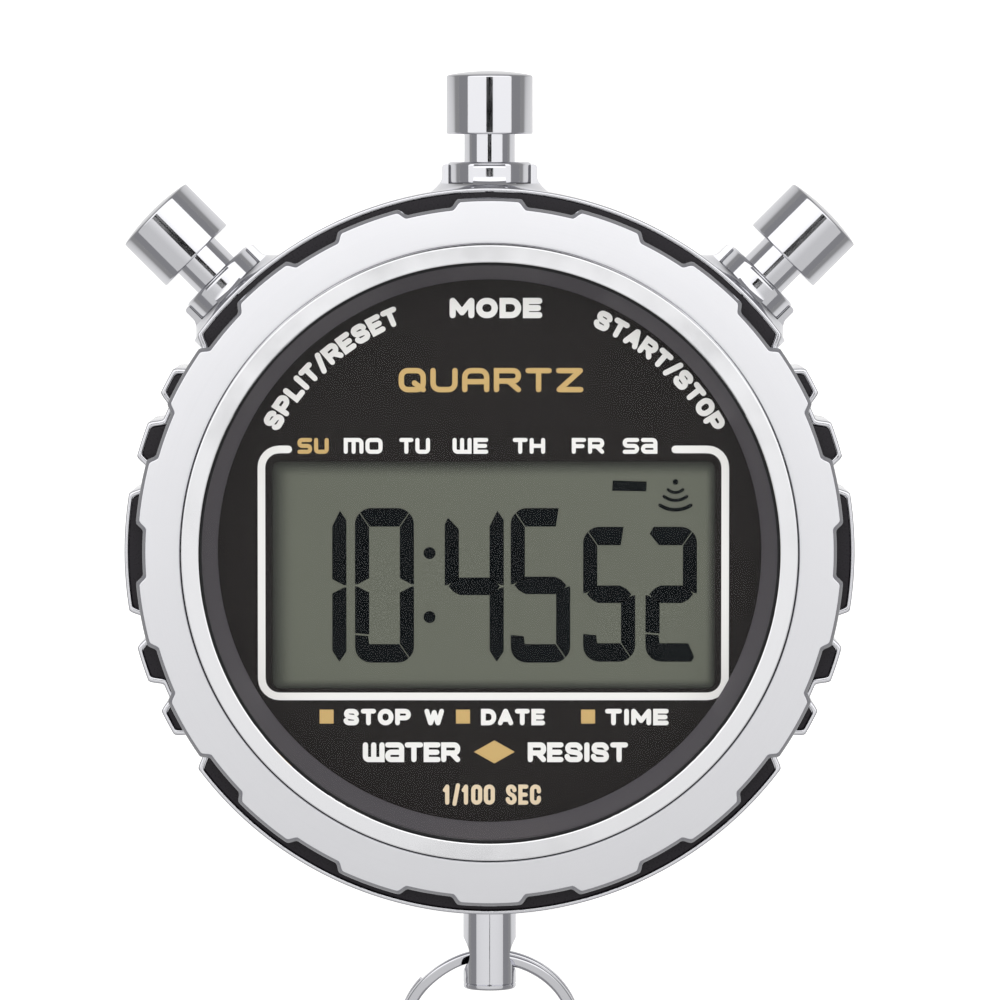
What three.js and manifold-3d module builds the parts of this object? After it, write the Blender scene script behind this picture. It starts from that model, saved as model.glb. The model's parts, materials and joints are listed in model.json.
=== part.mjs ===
// A handheld digital stopwatch in a chromed metal case: three sprung pushers, a notched bezel,
// a liquid crystal display module and a lanyard stem with a split ring.
// Millimetres. Origin: centre of the case back's flat outer face. +Z points out of the dial,
// +Y towards the mode pusher, +X to the right. The watch lies on its case back.
import * as THREE from "three";
import { mergeVertices } from "three/addons/utils/BufferGeometryUtils.js";
import Module from "manifold-3d";

const wasm = await Module();
wasm.setup();

// ---------------------------------------------------------------- driving dimensions
const DEG = Math.PI / 180;
const GAP = 0.05; // clearance between pieces that are stacked or fitted together
const BIG = 40; // facets round a large ring
const SMALL = 16; // facets round a pusher or the stem
const INNER = 10; // facets round the small pieces inside

// Case outline, seen from the front. Angles are in degrees, clockwise from the mode pusher.
const GAP_R = 30.35; // between the grip lobes
const RIM_R = 31.4; // long arcs at the top and bottom
const LOBE_R = 31.5; // grip lobes at the sides
const RAMP = 1.7; // degrees that the outline takes to step between two radii
const SIDE_LOBES = [[62, 2.8], [72, 3.5], [90, 10], [108, 3.5], [118, 2.8]];
const RIM_HALF = 54;
const LIP = 0.32; // width of the lip round the inlaid grip ring

// Heights above the case back's outer face.
const CASE_Z0 = 0.4;
const CASE_Z1 = 12.8;
const TRAY_Z = 11.6; // floor of the front recess
const LEDGE_Z = 10.8; // underside of the ledge that the module meets
const BACK_T = 1.0; // case back
const AXIS_Z = 6.8; // pushers and stem
const BOARD_Z = 5.1;
const BOARD_T = 0.9;
const FRAME_TOP = 10.5;
const DIAL_Z1 = 11.05;
const CRYSTAL_Z0 = 13.4;
const CRYSTAL_Z1 = 14.8;
const BEZEL_Z0 = 12.85;
const INLAY_Z1 = 12.65; // top of the inlaid grip ring
const BEZEL_Z1 = 14.6;
const RING_TOP = 15.1;

// Radii of the round pieces.
const BACK_R = 29.2;
const CAVITY_R = 26.0;
const OPENING_R = 24.95;
const CRYSTAL_R = 24.75;
const INNER_RING_R = 26.5;
const BEZEL_IN_R = 26.62;
const BEZEL_R = 30.55;
const NOTCH_R = 29.9;
const NOTCHES = 18;
const BOARD_R = 23.4;
const FRAME_R = 25.6;
const DIAL_R = 24.6;
const DIAL_VIEW_R = 23.5; // visible dial, inside the rehaut

// Display.
const VIEW = { w: 38.3, h: 19.7, x: 0.35, y: -2.1 }; // window in the dial
const LCD = { w: 39.6, h: 22.4, t: 1.85, y: -2.25 };
const STRIP = { w: 34, h: 1.6, off: 10.2 }; // conductive rubber strips under the glass's edges

// Pushers: distances from the case's centre along each pusher's axis.
const PUSHERS = [["reset", -45], ["mode", 0], ["start", 45]];
const HEAD = { r: 3.75, in: 36.0, out: 41.5, bore: 1.3, depth: 2.7 };
const BOSS = { r: 4.15, foot: 5.4, out: 33.4, front: 0.9 }; // its front is milled flat above the axis
const NECK = { r: 2.2, in: 30.7, tenon: 1.2 };
const STEM_R = 1.0;
const STEM_IN = 24.7;
const COLLAR = { r: 3.65, out: 33.6, seat: 31.75, spigot: 2.75, in: 25.95, bore: 2.3, floor: 27.7 };
const SEAL = { at: 32.25, wire: 0.21 };
const CLIP = { at: 25.55, t: 0.32, r: 2.2 };
const SPRING = { r: 1.72, wire: 0.2, turns: 4.5 };

// Lanyard stem and split ring.
const STEM = { r: 2.3, out: 38.5, seat: 29.7, spigot: 1.3, in: 24.6, hole: 1.5, holeAt: 35.5 };
const RING = { r: 7.5, radial: 1.0, axial: 0.6, pitch: 0.64, drop: 0.25, start: 140, ramp: 50 };

// ---------------------------------------------------------------- solids
// A closed three.js geometry as a manifold-3d solid.
function solid(geometry) {
  const bare = geometry.clone();
  bare.deleteAttribute("normal");
  bare.deleteAttribute("uv");
  const merged = mergeVertices(bare, 1e-4);
  const index = merged.index.array;
  const triangles = [];
  for (let i = 0; i < index.length; i += 3) {
    const [a, b, c] = [index[i], index[i + 1], index[i + 2]];
    if (a !== b && b !== c && c !== a) triangles.push(a, b, c);
  }
  return new wasm.Manifold(new wasm.Mesh({
    numProp: 3,
    vertProperties: new Float32Array(merged.attributes.position.array),
    triVerts: new Uint32Array(triangles),
  }));
}

// A solid's surface as a three.js geometry.
function surface(body) {
  const mesh = body.getMesh();
  const geometry = new THREE.BufferGeometry();
  geometry.setAttribute("position", new THREE.BufferAttribute(mesh.vertProperties, 3));
  geometry.setIndex(new THREE.BufferAttribute(mesh.triVerts, 1));
  geometry.computeVertexNormals();
  return geometry;
}

const join = (first, ...rest) => rest.reduce((sum, body) => sum.add(body), first);
const cut = (first, ...rest) => rest.reduce((left, body) => left.subtract(body), first);

// A profile of [radius, height] points, anticlockwise, turned about the Z axis.
function turned(profile, facets = BIG) {
  const points = profile.map(([r, z]) => new THREE.Vector2(r, z));
  return solid(new THREE.LatheGeometry(points, facets).rotateX(90 * DEG));
}

// A flat ring, or a disc when the inner radius is 0, with its edges chamfered by c.
function ring(inner, outer, z0, z1, c = 0, facets = BIG) {
  const outside = c
    ? [[outer - c, z0], [outer, z0 + c], [outer, z1 - c], [outer - c, z1]]
    : [[outer, z0], [outer, z1]];
  const inside = [[inner, z1], [inner, z0]];
  const loop = inner ? [...outside, ...inside, outside[0]] : [[0, z0], ...outside, [0, z1]];
  return turned(loop, facets);
}

function box(w, h, z0, z1, x = 0, y = 0) {
  return solid(new THREE.BoxGeometry(w, h, z1 - z0).translate(x, y, (z0 + z1) / 2));
}

// An outline of Vector2 points between two heights, with its edges chamfered.
function prism(points, z0, z1, bevel = 0) {
  const geometry = new THREE.ExtrudeGeometry(new THREE.Shape(points), {
    depth: z1 - z0 - 2 * bevel,
    steps: 1,
    bevelEnabled: bevel > 0,
    bevelThickness: bevel,
    bevelSize: bevel,
    bevelOffset: -bevel,
    bevelSegments: 1,
  });
  return solid(geometry.translate(0, 0, z0 + bevel));
}

// The point at radius r, at an angle in degrees clockwise from +Y.
function polar(r, angle) {
  return new THREE.Vector2(r * Math.sin(angle * DEG), r * Math.cos(angle * DEG));
}

// A wire of the given section along a curve.
function wire(curve, section, steps) {
  return solid(new THREE.ExtrudeGeometry(section, { steps, extrudePath: curve }));
}

// Turns a body made along +Z so that it points outwards at a clock angle, at the pushers' height.
function station(angle) {
  return new THREE.Matrix4()
    .makeTranslation(0, 0, AXIS_Z)
    .multiply(new THREE.Matrix4().makeRotationZ(-angle * DEG))
    .multiply(new THREE.Matrix4().makeRotationX(-90 * DEG));
}

function placed(body, matrix) {
  return solid(surface(body).applyMatrix4(matrix));
}

// ---------------------------------------------------------------- outlines
// Arcs of the case outline as [centre angle, half width, radius].
const ARCS = [
  [0, RIM_HALF, RIM_R],
  [180, RIM_HALF, RIM_R],
  ...SIDE_LOBES.flatMap(([at, half]) => [[at, half, LOBE_R], [-at, half, LOBE_R]]),
];

const turnBetween = (a, b) => Math.abs(((((a - b) % 360) + 540) % 360) - 180);

// The case outline, drawn in by inset on every side.
function caseOutline(inset) {
  const shrink = inset / LOBE_R / DEG;
  const angles = [];
  for (const [at, half] of ARCS) {
    for (const side of [-1, 1]) {
      for (const part of [-0.5, 0, 0.5]) {
        angles.push(at + side * (half - shrink + part * RAMP));
      }
    }
    const stops = Math.max(1, Math.round(half / 4.5));
    for (let i = 1 - stops; i < stops; i += 1) angles.push(at + (i * (half - 1)) / stops);
  }
  const turned360 = angles.map((a) => (a + 360) % 360).sort((a, b) => a - b);
  const kept = turned360.filter((a, i) => i === 0 || a - turned360[i - 1] > 0.12);
  return kept.map((angle) => {
    const rise = ARCS.map(([at, half, r]) => {
      const inside = (half - shrink - turnBetween(angle, at)) / RAMP + 0.5;
      return (r - GAP_R) * THREE.MathUtils.smoothstep(inside, 0, 1);
    });
    return polar(GAP_R - inset + Math.max(...rise), angle);
  });
}

// The bezel outline: wide lands with a shallow trapezoidal notch between each two.
function bezelOutline() {
  const points = [];
  for (let i = 0; i < NOTCHES; i += 1) {
    const at = (360 * (i + 0.5)) / NOTCHES;
    for (const side of [-5, -3.5, 0, 3.5, 5]) {
      points.push(polar(Math.abs(side) > 4 ? BEZEL_R : NOTCH_R, at + side));
    }
    points.push(polar(BEZEL_R, at + 180 / NOTCHES));
  }
  return points;
}

// ---------------------------------------------------------------- case
const SCREW = { at: 27.6, head: 1.2, headT: 0.6, shank: 0.7, length: 3.2 };
const screwSpots = [45, 135, 225, 315].map((angle) => polar(SCREW.at, angle));

// A pusher boss about its own axis: a flared pedestal, counterbored for the collar. The front of
// the counterbore is milled away, which leaves the collar in the open.
function boss() {
  const { r, foot, out, front } = BOSS;
  const seat = COLLAR.seat - GAP;
  const blank = turned([
    [0, 28], [foot, 28], [foot, 30.2], [foot - 0.45, 30.7], [r + 0.35, 31.3], [r, 32.2], [r, out - 0.25],
    [r - 0.25, out], [0, out],
  ], SMALL);
  return cut(
    blank,
    ring(0, COLLAR.r + 2 * GAP, seat, out + 1, 0, SMALL),
    box(2 * foot + 1, foot, seat, out + 1, 0, -front - foot / 2),
  );
}

function caseMiddle() {
  const body = prism(caseOutline(0), CASE_Z0, CASE_Z1, 0.3);
  const bosses = PUSHERS.map(([, angle]) => placed(boss(), station(angle)));
  const bore = ring(0, COLLAR.spigot + 2 * GAP, 25, 33, 0, SMALL);
  const bores = PUSHERS.map(([, angle]) => placed(bore, station(angle)));
  const stemSeat = ring(0, STEM.r + 2 * GAP, STEM.seat - 2 * GAP, 33, 0, SMALL);
  const stemBore = ring(0, STEM.spigot + 2 * GAP, 25, 30, 0, SMALL);
  const screwHoles = screwSpots.map((p) => (
    solid(new THREE.CylinderGeometry(SCREW.shank + GAP, SCREW.shank + GAP, 4, 12)
      .rotateX(90 * DEG).translate(p.x, p.y, BACK_T + 1.5))
  ));
  return cut(
    join(body, ...bosses),
    prism(caseOutline(LIP), TRAY_Z, CASE_Z1 + 1),
    ring(0, OPENING_R, LEDGE_Z - 1, TRAY_Z + 1),
    ring(0, CAVITY_R, -1, LEDGE_Z),
    ring(0, CAVITY_R + 0.65, -1, BACK_T + 0.5),
    ring(0, BACK_R + 2 * GAP, -1, BACK_T),
    ...bores,
    placed(stemSeat, station(180)),
    placed(stemBore, station(180)),
    ...screwHoles,
  );
}

function caseBack() {
  const holes = screwSpots.flatMap((p) => [
    solid(new THREE.CylinderGeometry(SCREW.shank + 2 * GAP, SCREW.shank + 2 * GAP, 3, 12)
      .rotateX(90 * DEG).translate(p.x, p.y, 0)),
    solid(new THREE.CylinderGeometry(SCREW.head + 0.1, SCREW.head + 0.1, 1.4, 16)
      .rotateX(90 * DEG).translate(p.x, p.y, 0)),
  ]);
  return cut(ring(0, BACK_R, 0, BACK_T, 0.2), ...holes);
}

// A pan-head screw standing on its head at the origin, with one straight slot.
function screw(head, headT, shank, length) {
  const blank = turned(
    [[0, 0], [head - 0.15, 0], [head, 0.15], [head, headT], [shank, headT], [shank, length], [0, length]],
    16,
  );
  return cut(blank, box(2 * head + 1, 0.35, -1, 0.3));
}

// The inlaid ring: a flat band that follows the lip of the case.
function gripRing() {
  const plate = prism(caseOutline(LIP + GAP), TRAY_Z + GAP, INLAY_Z1);
  return cut(plate, ring(0, 27.2, TRAY_Z, BEZEL_Z0));
}

function bezel() {
  const top = prism(bezelOutline(), BEZEL_Z0, BEZEL_Z1, 0.25);
  const foot = ring(0, 27.1, TRAY_Z + GAP, BEZEL_Z0 + 0.6);
  return cut(join(top, foot), ring(0, BEZEL_IN_R, TRAY_Z, BEZEL_Z1 + 1));
}

function innerRing() {
  const inner = OPENING_R + GAP;
  return turned([
    [INNER_RING_R, TRAY_Z + GAP], [INNER_RING_R, RING_TOP - 0.55], [INNER_RING_R - 0.25, RING_TOP - 0.15],
    [INNER_RING_R - 0.7, RING_TOP], [inner + 0.3, RING_TOP - 0.15], [inner, RING_TOP - 0.4],
    [inner, TRAY_Z + GAP], [INNER_RING_R, TRAY_Z + GAP],
  ]);
}

function rehaut() {
  const z0 = DIAL_Z1 + GAP;
  const z1 = CRYSTAL_Z0 - GAP;
  const outer = OPENING_R - 0.05;
  return turned([
    [DIAL_VIEW_R, z0], [outer, z0], [outer, z1], [outer - 0.1, z1], [DIAL_VIEW_R, z0],
  ]);
}

function dialPlate() {
  return cut(ring(0, DIAL_R, FRAME_TOP + GAP, DIAL_Z1), box(VIEW.w, VIEW.h, 9, 12, VIEW.x, VIEW.y));
}

// ---------------------------------------------------------------- display module
const LCD_Z0 = FRAME_TOP - LCD.t;
const NOTCH = { half: 3, in: 21.5, z0: 4.4, z1: 9.2 }; // room for each pusher inside the frame

// A module screw's place on the board.
const moduleScrews = [0, 120, 240].map((angle) => polar(21, angle));

function moduleFrame() {
  const pusherRoom = box(2 * NOTCH.half, 8, NOTCH.z0, NOTCH.z1, 0, NOTCH.in + 4);
  const rooms = [...PUSHERS.map(([, angle]) => angle), 180].map((angle) => (
    placed(pusherRoom, new THREE.Matrix4().makeRotationZ(-angle * DEG))
  ));
  const webZ = BOARD_Z + BOARD_T + GAP;
  const slots = [-1, 1].map((side) => (
    box(STRIP.w + 0.2, STRIP.h + 0.2, 4, 9, 0, LCD.y + side * STRIP.off)
  ));
  const holes = moduleScrews.map((p) => (
    solid(new THREE.CylinderGeometry(0.65, 0.65, 3.2, 12).rotateX(90 * DEG).translate(p.x, p.y, webZ))
  ));
  return cut(
    ring(0, FRAME_R, BACK_T + 0.6, FRAME_TOP),
    ring(0, FRAME_R - 1.5, 0, webZ),
    box(LCD.w + 0.2, LCD.h + 0.2, LCD_Z0 - 0.35, 12, 0, LCD.y),
    ...rooms,
    ...slots,
    ...holes,
  );
}

function circuitBoard() {
  const holes = moduleScrews.map((p) => (
    solid(new THREE.CylinderGeometry(0.7, 0.7, 4, 12).rotateX(90 * DEG).translate(p.x, p.y, BOARD_Z))
  ));
  return cut(ring(0, BOARD_R, BOARD_Z, BOARD_Z + BOARD_T), ...holes);
}

// A spring contact on the board: a foot, and an upright that the pusher's end presses.
function switchLeaf() {
  const base = BOARD_Z + BOARD_T + GAP;
  return join(box(2.4, 2.8, base, base + 0.2, 0, 22.9), box(2.4, 0.2, base, 8.0, 0, 24.3));
}

const BATTERY = { r: 10, t: 3.2, z: 1.5, x: -10, y: -2 };

function batteryClip() {
  const half = BATTERY.r + 0.35;
  const legs = [-1, 1].map((side) => (
    box(0.3, 3.5, BATTERY.z - 0.35, BOARD_Z - GAP, BATTERY.x + side * half, BATTERY.y)
  ));
  const strap = box(2 * half + 0.3, 3.5, BATTERY.z - 0.35, BATTERY.z - GAP, BATTERY.x, BATTERY.y);
  return join(strap, ...legs);
}

// ---------------------------------------------------------------- pushers
function pusherHead() {
  const { r, out, bore, depth } = HEAD;
  return turned([
    [0, HEAD.in + depth], [bore, HEAD.in + depth], [bore, HEAD.in], [r - 0.25, HEAD.in], [r, HEAD.in + 0.25],
    [r, out - 0.55], [r - 0.15, out - 0.38], [2.2, out - 0.12], [0, out],
  ], SMALL);
}

function pusherShaft() {
  const groove = STEM_R - 0.3;
  const clipEnd = CLIP.at + CLIP.t + GAP;
  const sealGroove = NECK.r - 0.45;
  return turned([
    [0, STEM_IN], [STEM_R - 0.15, STEM_IN], [STEM_R, STEM_IN + 0.15], [STEM_R, CLIP.at - GAP],
    [groove, CLIP.at - GAP], [groove, clipEnd], [STEM_R, clipEnd], [STEM_R, NECK.in], [NECK.r, NECK.in],
    [NECK.r, SEAL.at - 0.35], [sealGroove, SEAL.at - 0.35], [sealGroove, SEAL.at + 0.35],
    [NECK.r, SEAL.at + 0.35], [NECK.r, HEAD.in - GAP], [NECK.tenon, HEAD.in - GAP],
    [NECK.tenon, HEAD.in + HEAD.depth - 0.1], [0, HEAD.in + HEAD.depth - 0.1],
  ], INNER);
}

function pusherSeal() {
  const mid = NECK.r - 0.45 + GAP + SEAL.wire;
  const loop = Array.from({ length: 7 }, (_, i) => [
    mid + SEAL.wire * Math.cos(i * 60 * DEG),
    SEAL.at + SEAL.wire * Math.sin(i * 60 * DEG),
  ]);
  return turned(loop, INNER);
}

// An open retaining clip, sprung into the groove near the shaft's inner end.
function pusherClip() {
  const shape = new THREE.Shape();
  shape.absarc(0, 0, CLIP.r, 40 * DEG, 320 * DEG, false);
  shape.absarc(0, 0, STEM_R - 0.3 + GAP, 320 * DEG, 40 * DEG, true);
  const geometry = new THREE.ExtrudeGeometry(shape, {
    depth: CLIP.t, bevelEnabled: false, curveSegments: INNER,
  });
  return solid(geometry.translate(0, 0, CLIP.at));
}

// A coil's centre line: turns at an even pitch, from height z0 to z1.
class Coil extends THREE.Curve {
  constructor(r, z0, z1, turns) {
    super();
    Object.assign(this, { r, z0, z1, turns });
  }

  getPoint(t, target = new THREE.Vector3()) {
    const angle = 2 * Math.PI * this.turns * t;
    const z = this.z0 + (this.z1 - this.z0) * t;
    return target.set(this.r * Math.cos(angle), this.r * Math.sin(angle), z);
  }
}

function roundSection(r, sides) {
  const points = Array.from({ length: sides }, (_, i) => (
    new THREE.Vector2(r * Math.cos((2 * Math.PI * i) / sides), r * Math.sin((2 * Math.PI * i) / sides))
  ));
  return new THREE.Shape(points);
}

function coilSpring(r, wireR, z0, z1, turns) {
  const curve = new Coil(r, z0 + wireR + GAP, z1 - wireR - GAP, turns);
  return wire(curve, roundSection(wireR, 5), Math.round(turns * 8));
}

function collar() {
  const { r, out, seat, spigot, bore, floor } = COLLAR;
  return turned([
    [spigot, COLLAR.in], [spigot, seat], [r - 0.1, seat], [r, seat + 0.1], [r, out - 0.25],
    [r - 0.25, out], [bore, out], [bore, floor], [STEM_R + 0.1, floor], [STEM_R + 0.1, COLLAR.in],
    [spigot, COLLAR.in],
  ], SMALL);
}

// ---------------------------------------------------------------- stem and split ring
function lanyardStem() {
  const { r, out, seat, spigot, hole, holeAt } = STEM;
  const pin = turned([
    [0, STEM.in], [spigot, STEM.in], [spigot, seat], [r, seat], [r, out - 0.35], [r - 0.1, out - 0.15],
    [r - 0.35, out], [0, out],
  ], SMALL);
  const drill = solid(new THREE.CylinderGeometry(hole, hole, 8, SMALL).rotateZ(90 * DEG)
    .translate(0, 0, holeAt));
  return cut(pin, drill);
}

function stemNut() {
  const nut = ring(0, 2.4, 24.7, 25.7, 0, 6);
  return cut(nut, ring(0, STEM.spigot + GAP, 24, 27, 0, SMALL));
}

// A split ring's wire: two flat turns side by side, with a short crossover between them.
class SplitRingCurve extends THREE.Curve {
  getPoint(t, target = new THREE.Vector3()) {
    const sweep = 720 - RING.ramp - 3;
    const at = sweep * t;
    const crossing = THREE.MathUtils.smoothstep(at, 360 - RING.ramp, 360);
    const angle = (RING.start + at) * DEG;
    const side = RING.pitch * (crossing - 0.5);
    return target.set(RING.r * Math.cos(angle), RING.r * Math.sin(angle), side);
  }
}

// The ring lies in the XY plane and hangs from the origin towards -Y.
function splitRing() {
  const [w, h, c] = [RING.axial / 2, RING.radial / 2, 0.15];
  const section = new THREE.Shape([
    new THREE.Vector2(-w + c, -h), new THREE.Vector2(w - c, -h), new THREE.Vector2(w, -h + c),
    new THREE.Vector2(w, h - c), new THREE.Vector2(w - c, h), new THREE.Vector2(-w + c, h),
    new THREE.Vector2(-w, h - c), new THREE.Vector2(-w, -h + c),
  ]);
  const centre = new THREE.Matrix4().makeTranslation(0, -RING.r - RING.drop, 0);
  return placed(wire(new SplitRingCurve(), section, 50), centre);
}

// The angle at which the ring's far edge comes down to the height of the case back.
function ringTilt() {
  const far = RING.drop + 2 * RING.r + RING.radial / 2;
  const half = (RING.pitch + RING.axial) / 2;
  return Math.asin(AXIS_Z / Math.hypot(far, half)) - Math.atan2(half, far);
}

// ---------------------------------------------------------------- materials
const finish = (color, roughness, metalness) => (
  new THREE.MeshStandardMaterial({ color, roughness, metalness })
);
const CHROME = [0xdcdde0, 0.08, 1];
const BRUSHED = [0xc9c9cc, 0.32, 1];
const STEEL = [0xb4b6ba, 0.25, 1];
const BRASS = [0xc8a45a, 0.3, 1];
const BLACK_PLASTIC = [0x26242a, 0.35, 0];
const DARK_PLASTIC = [0x2b2b2d, 0.6, 0];
const RUBBER = [0x161618, 0.8, 0];

const watch = new THREE.Group();

function add(name, body, look, parent = watch) {
  const mesh = new THREE.Mesh(surface(body), finish(...look));
  mesh.name = name;
  parent.add(mesh);
  return mesh;
}

// ---------------------------------------------------------------- assembly
add("case_middle", caseMiddle(), CHROME);
add("case_back", caseBack(), BRUSHED);
add("case_back_gasket", ring(CAVITY_R + 0.1, CAVITY_R + 0.55, BACK_T + 0.03, BACK_T + 0.45), RUBBER);
const backScrew = screw(SCREW.head, SCREW.headT, SCREW.shank, SCREW.length);
screwSpots.forEach((p, i) => {
  add(`case_back_screw_${i + 1}`, backScrew, STEEL).position.set(p.x, p.y, 0.05);
});
add("grip_ring", gripRing(), BLACK_PLASTIC);
add("bezel", bezel(), BRUSHED);
add("inner_ring", innerRing(), CHROME);
add("crystal", ring(0, CRYSTAL_R, CRYSTAL_Z0, CRYSTAL_Z1, 0.15), [0xf2f6f6, 0.02, 0]);
add("crystal_gasket", ring(CRYSTAL_R + GAP, OPENING_R, CRYSTAL_Z0, CRYSTAL_Z1 - 0.1), RUBBER);
add("rehaut", rehaut(), BLACK_PLASTIC);
add("dial_plate", dialPlate(), [0x2d2926, 0.45, 0]);

add("module_frame", moduleFrame(), DARK_PLASTIC);
add("lcd_panel", box(LCD.w, LCD.h, LCD_Z0, FRAME_TOP - GAP, 0, LCD.y), [0x6f7165, 0.15, 0]);
add("lcd_reflector", box(LCD.w, 18, LCD_Z0 - 0.3, LCD_Z0 - GAP, 0, LCD.y), [0xb9bbb0, 0.5, 0]);
[["top", 1], ["bottom", -1]].forEach(([name, side]) => {
  const strip = box(STRIP.w, STRIP.h, BOARD_Z + BOARD_T + GAP, LCD_Z0 - GAP, 0, LCD.y + side * STRIP.off);
  add(`lcd_connector_${name}`, strip, RUBBER);
});
add("circuit_board", circuitBoard(), [0x1f5a38, 0.5, 0]);
const moduleScrew = screw(1.1, 0.5, 0.55, 2.2);
moduleScrews.forEach((p, i) => {
  const z = BOARD_Z - 0.5 - GAP;
  add(`module_screw_${i + 1}`, moduleScrew, STEEL).position.set(p.x, p.y, z);
});
const chip = turned(
  [[0, 0], [2.6, 0], [3.3, 0.3], [3.6, 0.9], [0, 0.9]],
  SMALL,
);
add("timing_chip", chip, RUBBER).position.set(8, -12, BOARD_Z - 0.9 - GAP);
const can = solid(new THREE.CylinderGeometry(1, 1, 6, 16).rotateZ(90 * DEG));
add("quartz_resonator", can, STEEL).position.set(2, 16, BOARD_Z - 1 - 2 * GAP);
add("trimmer_capacitor", ring(0, 2, 0, 1.5, 0, 16), BRASS).position.set(-14, 14, BOARD_Z - 1.5 - GAP);
const cell = ring(0, BATTERY.r, 0, BATTERY.t, 0.25, 32);
add("battery", cell, STEEL).position.set(BATTERY.x, BATTERY.y, BATTERY.z);
add("battery_clip", batteryClip(), BRASS);
const leafZ = BATTERY.z + BATTERY.t + GAP;
add("battery_contact", box(8, 3, leafZ, BOARD_Z - GAP, BATTERY.x, BATTERY.y), BRASS);
add("buzzer_disc", ring(0, 9, 0, 0.3, 0, 32), BRASS).position.set(12, 6, BACK_T + GAP);
const buzzerSpring = coilSpring(1.2, 0.15, BACK_T + 0.35 + GAP, BOARD_Z, 4);
add("buzzer_spring", buzzerSpring, BRASS).position.set(12, 6, 0);

for (const [name, angle] of PUSHERS) {
  const turn = new THREE.Group();
  turn.rotation.z = -angle * DEG;
  add(`${name}_switch_leaf`, switchLeaf(), BRASS, turn);
  const axis = new THREE.Group();
  axis.position.z = AXIS_Z;
  axis.rotation.x = -90 * DEG;
  add(`${name}_collar`, collar(), CHROME, axis);
  add(`${name}_pusher_head`, pusherHead(), CHROME, axis);
  add(`${name}_pusher_shaft`, pusherShaft(), CHROME, axis);
  add(`${name}_pusher_seal`, pusherSeal(), RUBBER, axis);
  add(`${name}_pusher_clip`, pusherClip(), STEEL, axis);
  const spring = coilSpring(SPRING.r, SPRING.wire, COLLAR.floor, NECK.in, SPRING.turns);
  add(`${name}_pusher_spring`, spring, STEEL, axis);
  turn.add(axis);
  watch.add(turn);
}

const stemAxis = new THREE.Group();
stemAxis.position.z = AXIS_Z;
stemAxis.rotation.x = 90 * DEG;
add("lanyard_stem", lanyardStem(), CHROME, stemAxis);
add("stem_nut", stemNut(), BRASS, stemAxis);
watch.add(stemAxis);

const hanger = new THREE.Group();
hanger.position.set(0, -STEM.holeAt, AXIS_Z);
hanger.rotation.x = ringTilt();
add("split_ring", splitRing(), CHROME, hanger);
watch.add(hanger);

export default watch;
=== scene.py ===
"""A handheld digital stopwatch with a chromed case, three pushers and a lanyard ring."""

import json
import math

import bmesh
import bpy
from mathutils import Matrix, Vector


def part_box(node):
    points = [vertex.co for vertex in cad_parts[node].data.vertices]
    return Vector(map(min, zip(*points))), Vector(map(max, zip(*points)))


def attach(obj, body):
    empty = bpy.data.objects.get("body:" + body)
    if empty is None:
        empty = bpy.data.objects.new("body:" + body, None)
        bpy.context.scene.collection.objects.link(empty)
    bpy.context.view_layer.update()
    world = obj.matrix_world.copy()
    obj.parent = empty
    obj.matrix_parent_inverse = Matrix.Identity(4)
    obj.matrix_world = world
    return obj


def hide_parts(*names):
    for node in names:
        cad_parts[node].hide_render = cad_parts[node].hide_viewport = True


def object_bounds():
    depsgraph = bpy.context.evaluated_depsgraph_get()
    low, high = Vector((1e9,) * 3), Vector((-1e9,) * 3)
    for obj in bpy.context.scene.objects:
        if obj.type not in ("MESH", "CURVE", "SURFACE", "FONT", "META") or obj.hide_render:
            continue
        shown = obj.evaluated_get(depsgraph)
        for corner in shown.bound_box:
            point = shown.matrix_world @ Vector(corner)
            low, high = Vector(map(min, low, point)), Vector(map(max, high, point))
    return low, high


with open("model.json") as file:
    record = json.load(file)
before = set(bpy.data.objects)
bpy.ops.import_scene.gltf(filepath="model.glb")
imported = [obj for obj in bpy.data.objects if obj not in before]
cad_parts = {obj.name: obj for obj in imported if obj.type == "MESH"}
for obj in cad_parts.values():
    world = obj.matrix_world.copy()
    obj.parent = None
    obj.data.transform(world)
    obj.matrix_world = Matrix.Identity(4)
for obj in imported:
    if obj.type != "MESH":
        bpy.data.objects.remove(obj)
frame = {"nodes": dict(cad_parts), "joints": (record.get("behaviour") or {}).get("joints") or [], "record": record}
cad_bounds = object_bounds()
nodes = frame["nodes"]

# ---------------------------------------------------------------- case middle
# The body: zinc alloy die casting, machined, polished and chrome plated. Grip lobes run down its
# sides, and a thin lip follows the outline round the tray that holds the inlay and the bezel.
MM = 0.001
GAP_R = 30.35
RIM_R = 31.4
LOBE_R = 31.5
RAMP = 1.7
LIP = 0.32
RIM_HALF = 54
FOOT_ROUND = 0.6
EDGE_ROUND = 0.15
LIP_ROUND = 0.07
OUTLINE_STEPS = 1440
SIDE_LOBES = ((62, 2.8), (72, 3.5), (90, 10), (108, 3.5), (118, 2.8))
ARCS = [(0, RIM_HALF, RIM_R), (180, RIM_HALF, RIM_R)]
ARCS += [(side * at, half, LOBE_R) for at, half in SIDE_LOBES for side in (-1, 1)]
case_low, case_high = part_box("case_middle")
ledge_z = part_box("module_frame")[1].z / MM + 0.3
tray_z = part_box("grip_ring")[0].z / MM - 0.05
opening_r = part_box("crystal_gasket")[1].x / MM
back_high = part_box("case_back")[1]


def smooth(t):
    """Eases from 0 to 1 as t does."""
    t = min(max(t, 0.0), 1.0)
    return t * t * (3 - 2 * t)


def case_outline(inset):
    """The case's radius at a clock angle in degrees, drawn in by inset on every side."""
    shrink = math.degrees(inset / LOBE_R)

    def radius(angle):
        best = 0.0
        for at, half, outer in ARCS:
            away = abs((angle - at + 180) % 360 - 180)
            best = max(best, (outer - GAP_R) * smooth((half - shrink - away) / RAMP + 0.5))
        return GAP_R - inset + best

    return radius


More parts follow.
